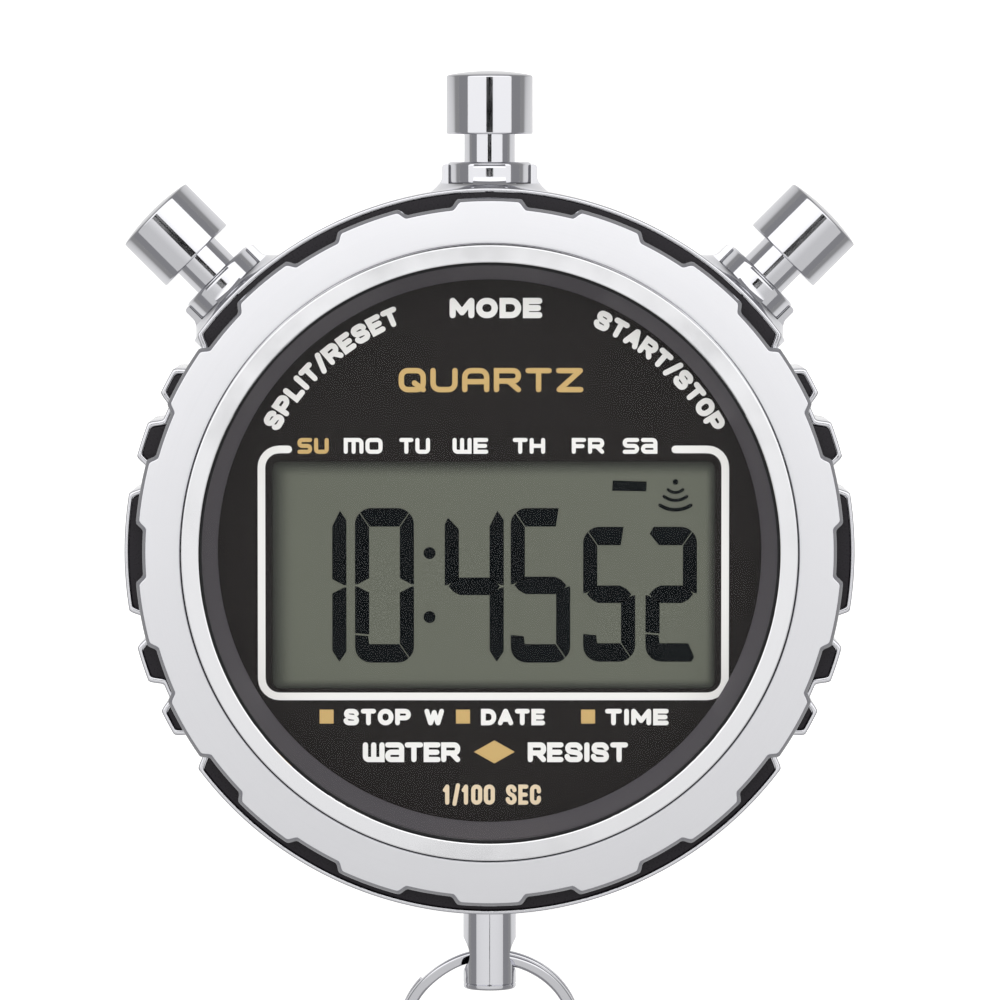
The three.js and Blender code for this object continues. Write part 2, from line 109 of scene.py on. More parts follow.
def corner(inset, height, size, start, end, steps=4):
    """Loops round a corner of the case: centre (inset, height), from one angle to another."""
    loops = []
    for i in range(steps + 1):
        turn = math.radians(start + (end - start) * i / steps)
        loops.append((case_outline(inset - size * math.cos(turn)), height + size * math.sin(turn)))
    return loops


def named(name):
    """The object just added, with its name."""
    piece = bpy.context.object
    piece.name = piece.data.name = name
    return piece


def finish_mesh(piece, angle):
    """Closes seams, turns the faces outwards and smooths every edge flatter than the angle."""
    bpy.ops.mesh.select_all(action="SELECT")
    bpy.ops.mesh.remove_doubles(threshold=1e-7)
    bpy.ops.mesh.normals_make_consistent(inside=False)
    bpy.ops.object.mode_set(mode="OBJECT")
    bpy.ops.object.shade_smooth_by_angle(angle=math.radians(angle))
    return piece


def stacked(name, loops, count, angle=30):
    """A closed ring of outlines in mm: radii, or radii by angle, and heights, or heights by radius."""
    bpy.ops.object.select_all(action="DESELECT")
    bpy.ops.mesh.primitive_circle_add(vertices=count, radius=MM)
    piece = named(name)
    bpy.ops.object.mode_set(mode="EDIT")
    bpy.ops.mesh.select_all(action="SELECT")
    for number, (radius, height) in enumerate([*loops, loops[0]]):
        if number:
            bpy.ops.mesh.extrude_region_move()
        mesh = bmesh.from_edit_mesh(piece.data)
        for vertex in [v for v in mesh.verts if v.select]:
            turn = math.atan2(vertex.co.x, vertex.co.y)
            r = radius(math.degrees(turn)) if callable(radius) else radius
            z = height(r) if callable(height) else height
            vertex.co = Vector((r * math.sin(turn), r * math.cos(turn), z)) * MM
        bmesh.update_edit_mesh(piece.data)
    return finish_mesh(piece, angle)


def linear(colour):
    """An sRGB hex colour as linear RGBA."""
    parts = [int(colour[i:i + 2], 16) / 255 for i in (1, 3, 5)]
    return (*(p / 12.92 if p <= 0.04045 else ((p + 0.055) / 1.055) ** 2.4 for p in parts), 1.0)


def add_node(tree, kind, links=None, **settings):
    """A shader node with its settings; links gives its inputs, as values or other sockets."""
    new = tree.nodes.new(kind)
    for key, value in settings.items():
        setattr(new, key, value)
    for key, value in (links or {}).items():
        if isinstance(value, bpy.types.NodeSocket):
            tree.links.new(value, new.inputs[key])
        else:
            new.inputs[key].default_value = value
    return new


def new_material(name, colour, metallic, roughness):
    """A material with its shader, and the object's own coordinates for its patterns."""
    material = bpy.data.materials.new(name)
    material.use_nodes = True
    tree = material.node_tree
    shader = tree.nodes["Principled BSDF"]
    shader.inputs["Base Color"].default_value = linear(colour)
    shader.inputs["Metallic"].default_value = metallic
    shader.inputs["Roughness"].default_value = roughness
    place = add_node(tree, "ShaderNodeTexCoord").outputs["Object"]
    return material, tree, shader, place


def mottle(tree, shader, place, size, low, high, detail=3.0):
    """Roughness that wanders between two values over patches of the given size in mm."""
    noise = add_node(tree, "ShaderNodeTexNoise", {
        "Vector": place, "Scale": 1 / (size * MM), "Detail": detail,
    })
    spread = add_node(tree, "ShaderNodeMapRange", {
        "Value": noise.outputs["Fac"], "From Min": 0.3, "From Max": 0.7, "To Min": low, "To Max": high,
    })
    tree.links.new(spread.outputs["Result"], shader.inputs["Roughness"])
    return noise.outputs["Fac"]


def bump(tree, shader, height, depth, strength=1.0):
    """Relief of the given depth in mm."""
    relief = add_node(tree, "ShaderNodeBump", {
        "Height": height, "Distance": depth * MM, "Strength": strength,
    })
    tree.links.new(relief.outputs["Normal"], shader.inputs["Normal"])


def polished_chrome(name, colour):
    """Chrome plate over buffed metal: nearly a mirror, with a faint buffing haze."""
    material, tree, shader, place = new_material(name, colour, 1.0, 0.06)
    haze = mottle(tree, shader, place, 4.0, 0.04, 0.1)
    bump(tree, shader, haze, 0.004, 0.3)
    return material


CHROME = polished_chrome("polished_chrome_plate", "#d2d2d6")

cavity_r = 26.0
back_seat = back_high.z / MM
back_recess_r = back_high.x / MM + 0.1
case_bottom, case_top = case_low.z / MM, case_high.z / MM
case_body = stacked(
    "case_body",
    [
        (cavity_r, back_seat), (back_recess_r, back_seat), (back_recess_r, case_bottom + 0.12),
        (back_recess_r + 0.1, case_bottom),
        *corner(FOOT_ROUND, case_bottom + FOOT_ROUND, FOOT_ROUND, -90, 0, 6),
        *corner(EDGE_ROUND, case_top - EDGE_ROUND, EDGE_ROUND, 0, 90),
        *corner(LIP - LIP_ROUND, case_top - LIP_ROUND, LIP_ROUND, 90, 180, 3),
        (case_outline(LIP), tray_z),
        (opening_r, tray_z), (opening_r, ledge_z), (cavity_r, ledge_z),
    ],
    OUTLINE_STEPS,
)
case_body.data.materials.append(CHROME)
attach(case_body, "case")
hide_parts("case_middle")

# ---------------------------------------------------------------- pusher bosses
# A boss for each pusher, cast in one with the case and polished with it. Its foot flares out over
# the round side wall, and it is counterbored for the collar. The counterbore's front is milled open.
PUSHER_ANGLES = {"reset": -45, "mode": 0, "start": 45}
collar_low, collar_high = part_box("mode_collar")
axis_z = (collar_low.z + collar_high.z) / 2 / MM
BOSS_R = 4.15
BOSS_OUT = 33.4
BOSS_FRONT = 0.9
COLLAR_SEAT = 31.73
FLARE_R = 5.4
FLARE_RISE = 0.95
BOSS_ROOT = 27
MILL_TILT = math.radians(15)


def held(profile, hold=0.03):
    """Adds a point close to each end of every long run, so that smoothing leaves the run straight."""
    points = [Vector(profile[0])]
    for spot in profile[1:]:
        start, end = points[-1], Vector(spot)
        if (end - start).length > 0.6:
            step = (end - start).normalized() * hold
            points += [start + step, end - step]
        points.append(end)
    return points


def turned(name, profile, steps=96, angle=30):
    """A profile of (radius, height) points in mm, spun about Z by a full turn."""
    bpy.ops.object.select_all(action="DESELECT")
    bpy.ops.mesh.primitive_plane_add(size=MM)
    piece = named(name)
    bpy.ops.object.mode_set(mode="EDIT")
    bpy.ops.mesh.select_all(action="SELECT")
    bpy.ops.mesh.merge(type="CENTER")
    at = Vector()
    for number, (r, z) in enumerate(held(profile)):
        here = Vector((r, 0, z)) * MM
        if number:
            bpy.ops.mesh.extrude_region_move(TRANSFORM_OT_translate={"value": here - at})
        else:
            bpy.ops.transform.translate(value=here)
        at = here
    bpy.ops.mesh.select_all(action="SELECT")
    bpy.ops.mesh.spin(steps=steps, angle=2 * math.pi, center=(0, 0, 0), axis=(0, 0, 1))
    return finish_mesh(piece, angle)


def arc(centre_r, centre_z, size, start, end, steps=5):
    """Profile points on an arc, angles in degrees anticlockwise from outwards."""
    points = []
    for i in range(steps + 1):
        turn = math.radians(start + (end - start) * i / steps)
        points.append((centre_r + size * math.cos(turn), centre_z + size * math.sin(turn)))
    return points


def station(angle):
    """From a pusher's own axis, +Z outwards, to its place on the case."""
    return (
        Matrix.Translation((0, 0, axis_z * MM))
        @ Matrix.Rotation(-math.radians(angle), 4, "Z")
        @ Matrix.Rotation(-math.pi / 2, 4, "X")
    )


def placed(piece, matrix):
    """Moves a piece and leaves its place in its mesh."""
    bpy.ops.object.select_all(action="DESELECT")
    bpy.context.view_layer.objects.active = piece
    piece.select_set(True)
    piece.matrix_world = matrix
    bpy.ops.object.transform_apply(location=True, rotation=True, scale=True)
    return piece


def copied(piece, name):
    """A copy of a piece with a mesh of its own."""
    twin = piece.copy()
    twin.data = piece.data.copy()
    twin.name = twin.data.name = name
    bpy.context.scene.collection.objects.link(twin)
    return twin


def cut_away(piece, cutter):
    """Cuts one closed mesh out of another and removes the cutter."""
    bpy.ops.object.select_all(action="DESELECT")
    bpy.context.view_layer.objects.active = piece
    piece.select_set(True)
    cut = piece.modifiers.new("cut", "BOOLEAN")
    cut.operation = "DIFFERENCE"
    cut.solver = "EXACT"
    cut.object = cutter
    bpy.ops.object.modifier_apply(modifier=cut.name)
    bpy.data.objects.remove(cutter)
    bpy.ops.object.shade_smooth_by_angle(angle=math.radians(30))
    return piece


def block(name, size, centre):
    """A plain block in mm, for cutting with."""
    bpy.ops.object.select_all(action="DESELECT")
    bpy.ops.mesh.primitive_cube_add(size=MM)
    piece = named(name)
    piece.scale = size
    piece.location = Vector(centre) * MM
    bpy.ops.object.transform_apply(location=True, rotation=True, scale=True)
    return piece


def boss():
    """A boss on its pusher's axis: flared foot, counterbore, and two milled faces at the front."""
    foot = RIM_R - 0.03
    flare = [(0, BOSS_ROOT), (FLARE_R, BOSS_ROOT), (FLARE_R, foot)]
    for i in range(1, 13):
        turn = i / 12 * math.pi / 2
        r = FLARE_R + (BOSS_R - FLARE_R) * math.sin(turn)
        flare.append((r, foot + FLARE_RISE * (1 - math.cos(turn))))
    flare += [*arc(BOSS_R - 0.3, BOSS_OUT - 0.3, 0.3, 0, 90, 6), (0, BOSS_OUT)]
    piece = turned("boss", flare)
    for vertex in piece.data.vertices:
        r = math.hypot(vertex.co.x, vertex.co.y) / MM
        if vertex.co.z > (RIM_R - 1) * MM and r > BOSS_R + 0.01:
            drop = RIM_R - math.sqrt(RIM_R ** 2 - (vertex.co.x / MM) ** 2)
            vertex.co.z -= drop * smooth((r - BOSS_R) / (FLARE_R - BOSS_R)) * MM
    seat_r = collar_high.x / MM + 0.04
    cut_away(piece, turned("counterbore", [(0, COLLAR_SEAT), (seat_r, COLLAR_SEAT), (seat_r, 35), (0, 35)]))
    for side in (-1, 1):
        milled = block("milled_front", (9, 6, 3), (side * 1.5, -3, 0))
        edge = Vector((side * seat_r, -BOSS_FRONT, COLLAR_SEAT + 1.5)) * MM
        tilted = Matrix.Translation(edge) @ Matrix.Rotation(side * MILL_TILT, 4, "Z")
        cut_away(piece, placed(milled, tilted))
    return piece


boss_blank = boss()
boss_blank.data.materials.append(CHROME)
for pusher, angle in PUSHER_ANGLES.items():
    piece = placed(copied(boss_blank, f"{pusher}_boss"), station(angle))
    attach(piece, "case")
bpy.data.objects.remove(boss_blank)

# ---------------------------------------------------------------- pusher collars
# A turned and chromed brass tube, pressed into the counterbore of each boss. The pusher's neck
# slides in its wide bore, and the stem goes through the small hole at its inner end.
collar_out = collar_high.y / MM
collar_in = collar_low.y / MM
collar_r = collar_high.x / MM
TUBE_R = 2.75
NECK_R = 2.2
neck_bore = NECK_R + 0.1
BORE_END = 27.7
STEM_HOLE_R = 1.1
collar_blank = turned(
    "collar",
    [
        (TUBE_R, collar_in), (TUBE_R, COLLAR_SEAT + 0.02),
        *arc(collar_r - 0.12, COLLAR_SEAT + 0.14, 0.12, -90, 0, 4),
        *arc(collar_r - 0.3, collar_out - 0.3, 0.3, 0, 90, 6),
        (neck_bore + 0.18, collar_out), (neck_bore, collar_out - 0.15), (neck_bore, BORE_END),
        (STEM_HOLE_R, BORE_END), (STEM_HOLE_R, collar_in), (TUBE_R, collar_in),
    ],
)
collar_blank.data.materials.append(CHROME)
for pusher, angle in PUSHER_ANGLES.items():
    piece = placed(copied(collar_blank, f"{pusher}_collar_tube"), station(angle))
    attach(piece, "case")
    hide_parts(f"{pusher}_collar")
bpy.data.objects.remove(collar_blank)

# ---------------------------------------------------------------- pushers
# Each pusher is a polished head on a steel shaft: a wide neck that guides it in the collar, and a
# thin stem that reaches the switch inside. The head's top is slightly domed.
head_low, head_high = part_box("mode_pusher_head")
head_in, head_out = head_low.y / MM, head_high.y / MM
head_r = head_high.x / MM
shaft_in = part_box("mode_pusher_shaft")[0].y / MM
DOME = 0.38
SOCKET_R = 1.3
SOCKET_DEPTH = 2.7
TENON_R = 1.2
TENON = 2.6
NECK_START = 30.7
CLIP_AT = 25.5
SEAL_AT = 32.25
head_blank = turned(
    "head",
    [
        (0, head_in + SOCKET_DEPTH), (SOCKET_R, head_in + SOCKET_DEPTH), (SOCKET_R, head_in),
        (head_r - 0.22, head_in),
        *arc(head_r - 0.14, head_in + 0.14, 0.14, -90, 0, 4),
        *arc(head_r - 0.16, head_out - DOME - 0.16, 0.16, 0, 68, 5),
        *[(r, head_out - DOME * (r / head_r) ** 2) for r in (3.2, 2.6, 2.0, 1.4, 0.8, 0)],
    ],
    128,
)
shaft_blank = turned(
    "shaft",
    [
        (0, shaft_in), (0.85, shaft_in), (1.0, shaft_in + 0.15), (1.0, CLIP_AT), (0.7, CLIP_AT),
        (0.7, CLIP_AT + 0.42), (1.0, CLIP_AT + 0.42), (1.0, NECK_START), (NECK_R - 0.1, NECK_START),
        (NECK_R, NECK_START + 0.1),
        (NECK_R, SEAL_AT - 0.35), (NECK_R - 0.45, SEAL_AT - 0.35), (NECK_R - 0.45, SEAL_AT + 0.35),
        (NECK_R, SEAL_AT + 0.35), (NECK_R, head_in + 0.02), (TENON_R, head_in + 0.02),
        (TENON_R, head_in + TENON), (0, head_in + TENON),
    ],
)
head_blank.data.materials.append(CHROME)
shaft_blank.data.materials.append(CHROME)
for pusher, angle in PUSHER_ANGLES.items():
    for blank, part, node in ((head_blank, "button", "head"), (shaft_blank, "stem", "shaft")):
        piece = placed(copied(blank, f"{pusher}_{part}"), station(angle))
        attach(piece, f"{pusher}_pusher")
        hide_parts(f"{pusher}_pusher_{node}")
bpy.data.objects.remove(head_blank)
bpy.data.objects.remove(shaft_blank)

# ---------------------------------------------------------------- grip ring inlay
# A black ABS ring, moulded to fill the tray of the case and pressed into it under the bezel. It
# shows in the bezel's notches and in the side lobes.
inlay_low, inlay_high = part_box("grip_ring")
inlay_top = inlay_high.z / MM
INLAY_IN_R = 27.2
INLAY_INSET = LIP + 0.04
INLAY_ROUND = 0.15


def black_inlay_abs():
    """Injection-moulded ABS: semi-gloss black with a very fine moulded grain."""
    material, tree, shader, place = new_material("black_moulded_abs", "#1e1b20", 0.0, 0.3)
    shader.inputs["Specular IOR Level"].default_value = 0.2
    grain = mottle(tree, shader, place, 0.25, 0.24, 0.34)
    bump(tree, shader, grain, 0.004, 0.4)
    return material


inlay = stacked(
    "grip_inlay",
    [
        (INLAY_IN_R, inlay_low.z / MM), (case_outline(INLAY_INSET), inlay_low.z / MM),
        (case_outline(INLAY_INSET), inlay_top - INLAY_ROUND),
        *corner(INLAY_INSET + INLAY_ROUND, inlay_top - INLAY_ROUND, INLAY_ROUND, 0, 90, 4),
        (INLAY_IN_R, inlay_top),
    ],
    OUTLINE_STEPS,
)
inlay.data.materials.append(black_inlay_abs())
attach(inlay, "case")
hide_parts("grip_ring")

# ---------------------------------------------------------------- bezel
# A turned ring with eighteen milled notches. Its face is brushed round and round, and its edges are
# chamfered and polished.
bezel_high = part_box("bezel")[1]
bezel_top = bezel_high.z / MM
bezel_edge = bezel_top - 0.35
BEZEL_FOOT_Z = 12.85
BEZEL_R = 30.55
BEZEL_IN_R = 26.62
NOTCH_DEPTH = 0.65
NOTCH_TOP = 5.0
NOTCH_FLOOR = 3.5
NOTCH_EVERY = 20
CHAMFER = 0.28
HAIRLINE = 0.1


def bezel_outline(inset):
    """The bezel's radius at a clock angle, drawn in by inset on every side."""
    widen = math.degrees(inset / BEZEL_R)

    def radius(angle):
        away = abs(angle % NOTCH_EVERY - NOTCH_EVERY / 2)
        depth = (NOTCH_TOP + widen * 0.7 - away) / (NOTCH_TOP - NOTCH_FLOOR)
        return BEZEL_R - inset - NOTCH_DEPTH * smooth(depth)

    return radius


def cone(below):
    """The height of the sloping face at a radius, less a drop."""
    slope = (bezel_top - bezel_edge) / (BEZEL_R - BEZEL_IN_R - 0.2)
    return lambda r: bezel_top - below - (r - BEZEL_IN_R - 0.2) * slope


def brushed_face():
    """Satin chrome, brushed in rings: fine hairlines 0.1 mm apart run round the centre."""
    material, tree, shader, place = new_material("ring_brushed_chrome", "#d9d9dc", 1.0, 0.3)
    flat = add_node(tree, "ShaderNodeVectorMath", {0: place, 1: (1, 1, 0)}, operation="MULTIPLY")
    reach = add_node(tree, "ShaderNodeVectorMath", {0: flat.outputs["Vector"]}, operation="LENGTH")
    facing = add_node(tree, "ShaderNodeVectorMath", {0: flat.outputs["Vector"]}, operation="NORMALIZE")
    rings = add_node(tree, "ShaderNodeMath", {
        0: reach.outputs["Value"], 1: 1 / (HAIRLINE * MM),
    }, operation="MULTIPLY")
    split = add_node(tree, "ShaderNodeSeparateXYZ", {"Vector": facing.outputs["Vector"]})
    where = add_node(tree, "ShaderNodeCombineXYZ", {
        "X": split.outputs["X"], "Y": split.outputs["Y"], "Z": rings.outputs["Value"],
    })
    hairs = add_node(tree, "ShaderNodeTexNoise", {
        "Vector": where.outputs["Vector"], "Scale": 1.0, "Detail": 4.0,
    })
    spread = add_node(tree, "ShaderNodeMapRange", {
        "Value": hairs.outputs["Fac"], "From Min": 0.3, "From Max": 0.7, "To Min": 0.3, "To Max": 0.46,
    })
    tree.links.new(spread.outputs["Result"], shader.inputs["Roughness"])
    bump(tree, shader, hairs.outputs["Fac"], 0.004, 0.35)
    return material


BRUSHED = brushed_face()
bezel = stacked(
    "notched_bezel",
    [
        (BEZEL_IN_R, BEZEL_FOOT_Z + 0.05), (BEZEL_IN_R + 0.05, BEZEL_FOOT_Z),
        (bezel_outline(0.12), BEZEL_FOOT_Z), (bezel_outline(0.03), BEZEL_FOOT_Z + 0.03),
        (bezel_outline(0), BEZEL_FOOT_Z + 0.12),
        (bezel_outline(0), cone(CHAMFER + 0.05)),
        (bezel_outline(0.015), cone(CHAMFER)),
        (bezel_outline(CHAMFER), cone(0.015)), (bezel_outline(CHAMFER + 0.03), cone(0)),
        (bezel_outline(CHAMFER + 0.08), cone(0)), (BEZEL_IN_R + 0.24, cone(0)),
        (BEZEL_IN_R + 0.12, bezel_top), (BEZEL_IN_R + 0.08, bezel_top - 0.01),
        (BEZEL_IN_R + 0.01, bezel_top - 0.07), (BEZEL_IN_R, bezel_top - 0.1),
    ],
    OUTLINE_STEPS,
)
bezel.data.materials.append(CHROME)
bezel.data.materials.append(BRUSHED)
for face in bezel.data.polygons:
    if face.normal.z > 0.97 and face.center.z > bezel_edge * MM:
        face.material_index = 1
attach(bezel, "case")
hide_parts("bezel")

# ---------------------------------------------------------------- inner ring
# The ring that holds the crystal down: flat, mirror bright, with a whiter plate than the case. Its
# edges are barely eased.
ring_low, ring_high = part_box("inner_ring")
ring_top = ring_high.z / MM
ring_out = ring_high.x / MM
ring_in = opening_r + 0.05
inner_ring = turned(
    "crystal_ring",
    [
        (ring_out, ring_low.z / MM), (ring_out, ring_top - 0.1), (ring_out - 0.03, ring_top - 0.03),
        (ring_out - 0.1, ring_top), (ring_in + 0.12, ring_top), (ring_in + 0.03, ring_top - 0.04),
        (ring_in, ring_top - 0.12), (ring_in, ring_low.z / MM), (ring_out, ring_low.z / MM),
    ],
    256, 20,
)
inner_ring.data.materials.append(polished_chrome("white_chrome_plate", "#dadadc"))
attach(inner_ring, "case")
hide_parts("inner_ring")

# ---------------------------------------------------------------- crystal and its gasket
# Flat mineral glass, ground round with a small polished chamfer. A black rubber gasket grips it all
# the way round and is pressed into the opening with it.
glass_low, glass_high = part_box("crystal")
glass_r = glass_high.x / MM
glass_z0, glass_z1 = glass_low.z / MM, glass_high.z / MM


def mineral_glass():
    """Clear float glass, whose anti-reflection coating a low IOR stands for: smooth, colourless."""
    material, tree, shader, place = new_material("clear_mineral_glass", "#ffffff", 0.0, 0.0)
    shader.inputs["Transmission Weight"].default_value = 1.0
    shader.inputs["IOR"].default_value = 1.12
    mottle(tree, shader, place, 6.0, 0.0, 0.02)
    return material


crystal = turned(
    "watch_crystal",
    [
        (0, glass_z0), (glass_r - 0.05, glass_z0), (glass_r, glass_z0 + 0.05), (glass_r, glass_z1 - 0.06),
        (glass_r - 0.06, glass_z1), (0, glass_z1),
    ],
    256,
)
crystal.data.materials.append(mineral_glass())
crystal.visible_shadow = False
crystal.visible_diffuse = False
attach(crystal, "case")
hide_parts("crystal")


def black_rubber():
    """Nitrile rubber: matt black, with a fine moulded tooth."""
    material, tree, shader, place = new_material("matt_black_rubber", "#18181a", 0.0, 0.7)
    tooth = mottle(tree, shader, place, 0.15, 0.6, 0.8)
    bump(tree, shader, tooth, 0.006, 0.4)
    return material


RUBBER = black_rubber()
gasket_low, gasket_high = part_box("crystal_gasket")
gasket = turned(
    "crystal_seal",
    [
        (glass_r + 0.02, gasket_low.z / MM), (opening_r + 0.02, gasket_low.z / MM),
        (opening_r + 0.02, gasket_high.z / MM - 0.05), (opening_r - 0.1, gasket_high.z / MM),
        (glass_r + 0.1, gasket_high.z / MM), (glass_r + 0.02, gasket_high.z / MM - 0.05),
        (glass_r + 0.02, gasket_low.z / MM),
    ],
    256,
)
gasket.data.materials.append(RUBBER)
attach(gasket, "case")
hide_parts("crystal_gasket")

# ---------------------------------------------------------------- rehaut
# The sloping ring that fills the step from the crystal down to the dial. It is moulded in black
# plastic, sprayed with satin charcoal lacquer and clamped between the two.
rehaut_low, rehaut_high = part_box("rehaut")
DIAL_VIEW_R = 23.5


def black_lacquer():
    """Sprayed charcoal lacquer: satin, with a slight orange peel."""
    material, tree, shader, place = new_material("satin_charcoal_lacquer", "#585559", 0.0, 0.5)
    shader.inputs["Specular IOR Level"].default_value = 0.3
    peel = mottle(tree, shader, place, 0.8, 0.42, 0.55)
    bump(tree, shader, peel, 0.004, 0.3)
    return material


rehaut = turned(
    "rehaut_cone",
    [
        (DIAL_VIEW_R, rehaut_low.z / MM), (rehaut_high.x / MM, rehaut_low.z / MM),
        (rehaut_high.x / MM, rehaut_high.z / MM), (rehaut_high.x / MM - 0.05, rehaut_high.z / MM),
        (rehaut_high.x / MM - 0.12, rehaut_high.z / MM - 0.08), (DIAL_VIEW_R, rehaut_low.z / MM + 0.12),
        (DIAL_VIEW_R, rehaut_low.z / MM),
    ],
    256,
)
rehaut.data.materials.append(black_lacquer())
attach(rehaut, "case")
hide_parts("rehaut")

# ---------------------------------------------------------------- dial
# A thin plastic plate faced with a film printed brown-black. It lies on the module, and the window
# punched in it over the display has rounded corners.
dial_low, dial_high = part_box("dial_plate")
dial_top = dial_high.z / MM
dial_r = dial_high.x / MM
WINDOW = {"w": 38.3, "h": 19.7, "x": 0.35, "y": -2.1, "corner": 0.7}


def dial_film():
    """Matt screen-printing ink on polycarbonate film: brown-black with a faint eggshell tooth."""
    material, tree, shader, place = new_material("matt_printed_film", "#191615", 0.0, 0.45)
    shader.inputs["Specular IOR Level"].default_value = 0.09
    tooth = mottle(tree, shader, place, 0.2, 0.4, 0.5)
    bump(tree, shader, tooth, 0.002, 0.3)
    return material


def rounded_slab(name, w, h, z0, z1, x, y, radius, steps=8):
    """A slab with its four upright edges rounded, sizes in mm."""
    slab = block(name, (w, h, z1 - z0), (x, y, (z0 + z1) / 2))
    bpy.ops.object.mode_set(mode="EDIT")
    bpy.ops.mesh.select_mode(type="EDGE")
    bpy.ops.mesh.select_all(action="DESELECT")
    mesh = bmesh.from_edit_mesh(slab.data)
    for edge in mesh.edges:
        edge.select_set(abs(edge.verts[0].co.z - edge.verts[1].co.z) > 0.5 * (z1 - z0) * MM)
    bmesh.update_edit_mesh(slab.data)
    bpy.ops.mesh.bevel(offset=radius * MM, segments=steps, affect="EDGES")
    bpy.ops.mesh.select_mode(type="VERT")
    bpy.ops.object.mode_set(mode="OBJECT")
    bpy.ops.object.shade_smooth_by_angle(angle=math.radians(30))
    return slab


dial = turned(
    "printed_dial",
    [(0, dial_low.z / MM), (dial_r, dial_low.z / MM), (dial_r, dial_top), (0, dial_top)],
    128,
)
window = rounded_slab(
    "window", WINDOW["w"], WINDOW["h"], dial_top - 2, dial_top + 1,
    WINDOW["x"], WINDOW["y"], WINDOW["corner"],
)
cut_away(dial, window)
dial.data.materials.append(dial_film())
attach(dial, "case")
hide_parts("dial_plate")

# ---------------------------------------------------------------- dial printing
# Words, frame line and marks screen-printed on the dial in white and gold ink, a hair thick. The
# letters are drawn with a round pen; the day names and the water mark use a squarer hand.
INK = 0.01
CLIMB = 0.0004
STROKE_RISE = 0.012
ARC_STEPS = 6


def printing_ink(name, colour, roughness):
    """Screen-printing ink: opaque, satin, with slightly uneven cover."""
    material, tree, shader, place = new_material(name, colour, 0.0, roughness)
    shader.inputs["Specular IOR Level"].default_value = 0.1
    mottle(tree, shader, place, 0.3, roughness - 0.06, roughness + 0.08)
    return material


WHITE_INK = printing_ink("white_screen_ink", "#f0efec", 0.45)
GOLD_INK = printing_ink("gold_screen_ink", "#caab70", 0.4)
CREAM_INK = printing_ink("cream_screen_ink", "#e6d3b4", 0.45)

# Pen strokes of each letter on a square one unit wide and high. A third value of 1 rounds a corner.
STROKES = {
    "A": [[(0, 0), (0.48, 1)], [(0.52, 1), (1, 0)], [(0.2, 0.3), (0.8, 0.3)]],
    "C": [[(1, 0.7), (1, 1, 1), (0, 1, 1), (0, 0, 1), (1, 0, 1), (1, 0.3)]],
    "D": [[(0.4, 0), (0, 0), (0, 1), (1, 1, 1), (1, 0, 1), (0.35, 0)]],
    "E": [[(1, 1), (0, 1), (0, 0), (1, 0)], [(0, 0.5), (0.9, 0.5)]],
    "F": [[(1, 1), (0, 1), (0, 0)], [(0, 0.48), (0.85, 0.48)]],
    "H": [[(0, 0), (0, 1)], [(1, 0), (1, 1)], [(0, 0.5), (1, 0.5)]],
    "I": [[(0.5, 0), (0.5, 1)]],
    "L": [[(0, 1), (0, 0), (1, 0)]],
    "M": [[(0, 0), (0, 1)], [(1, 1), (1, 0)], [(0.03, 0.97), (0.5, 0.2)], [(0.5, 0.2), (0.97, 0.97)]],
    "O": [[(0.5, 1), (1, 1, 1), (1, 0, 1), (0, 0, 1), (0, 1, 1), (0.48, 1)]],
    "P": [[(0, 0), (0, 1), (1, 1, 1), (1, 0.42, 1), (0, 0.42)]],
    "R": [[(0, 0), (0, 1), (1, 1, 1), (1, 0.45, 1), (0, 0.45)], [(0.55, 0.45), (1, 0)]],
    "S": [[(0.97, 0.78), (0.9, 1, 1), (0.05, 1, 1), (0.05, 0.56, 1), (0.98, 0.44, 1), (0.98, 0, 1),
           (0.05, 0, 1), (0, 0.22)]],
    "T": [[(0, 1), (1, 1)], [(0.5, 1), (0.5, 0)]],
    "U": [[(0, 1), (0, 0, 1), (1, 0, 1), (1, 1)]],
    "W": [[(0, 1), (0.24, 0)], [(0.26, 0), (0.5, 0.9)], [(0.5, 0.9), (0.74, 0)], [(0.76, 0), (1, 1)]],
    "Z": [[(0, 1), (0.98, 1)], [(0.98, 1), (0.02, 0)], [(0.02, 0), (1, 0)]],
    "Q": [[(0.5, 1), (1, 1, 1), (1, 0, 1), (0, 0, 1), (0, 1, 1), (0.48, 1)], [(0.6, 0.35), (1, 0)]],
    "a": [[(0, 1), (1, 1, 1), (1, 0), (0, 0, 1), (0, 0.5, 1), (1, 0.5)]],
    "m": [[(0, 0), (0, 1), (1, 1, 1), (1, 0)], [(0.5, 1), (0.5, 0)]],
    "w": [[(0, 1), (0, 0, 1), (1, 0), (1, 1)], [(0.5, 0), (0.5, 1)]],
    "s": [[(1, 1), (0, 1, 1), (0, 0.5, 1), (1, 0.5, 1), (1, 0, 1), (0, 0)]],
    "q": [[(0, 0), (0, 1, 1), (1, 1, 1), (1, 0)], [(0, 0.42), (1, 0.42)]],
    "/": [[(0, -0.08), (1, 1.08)]],
    "1": [[(0, 0.78), (0.6, 1)], [(0.6, 1), (0.6, 0)]],
}
WIDTHS = {"M": 1.2, "W": 1.35, "m": 1.2, "w": 1.2, "I": 0.05, "/": 0.5, " ": 0.5, "1": 0.55, "E": 0.85,
          "L": 0.8, "F": 0.85, "T": 0.95}


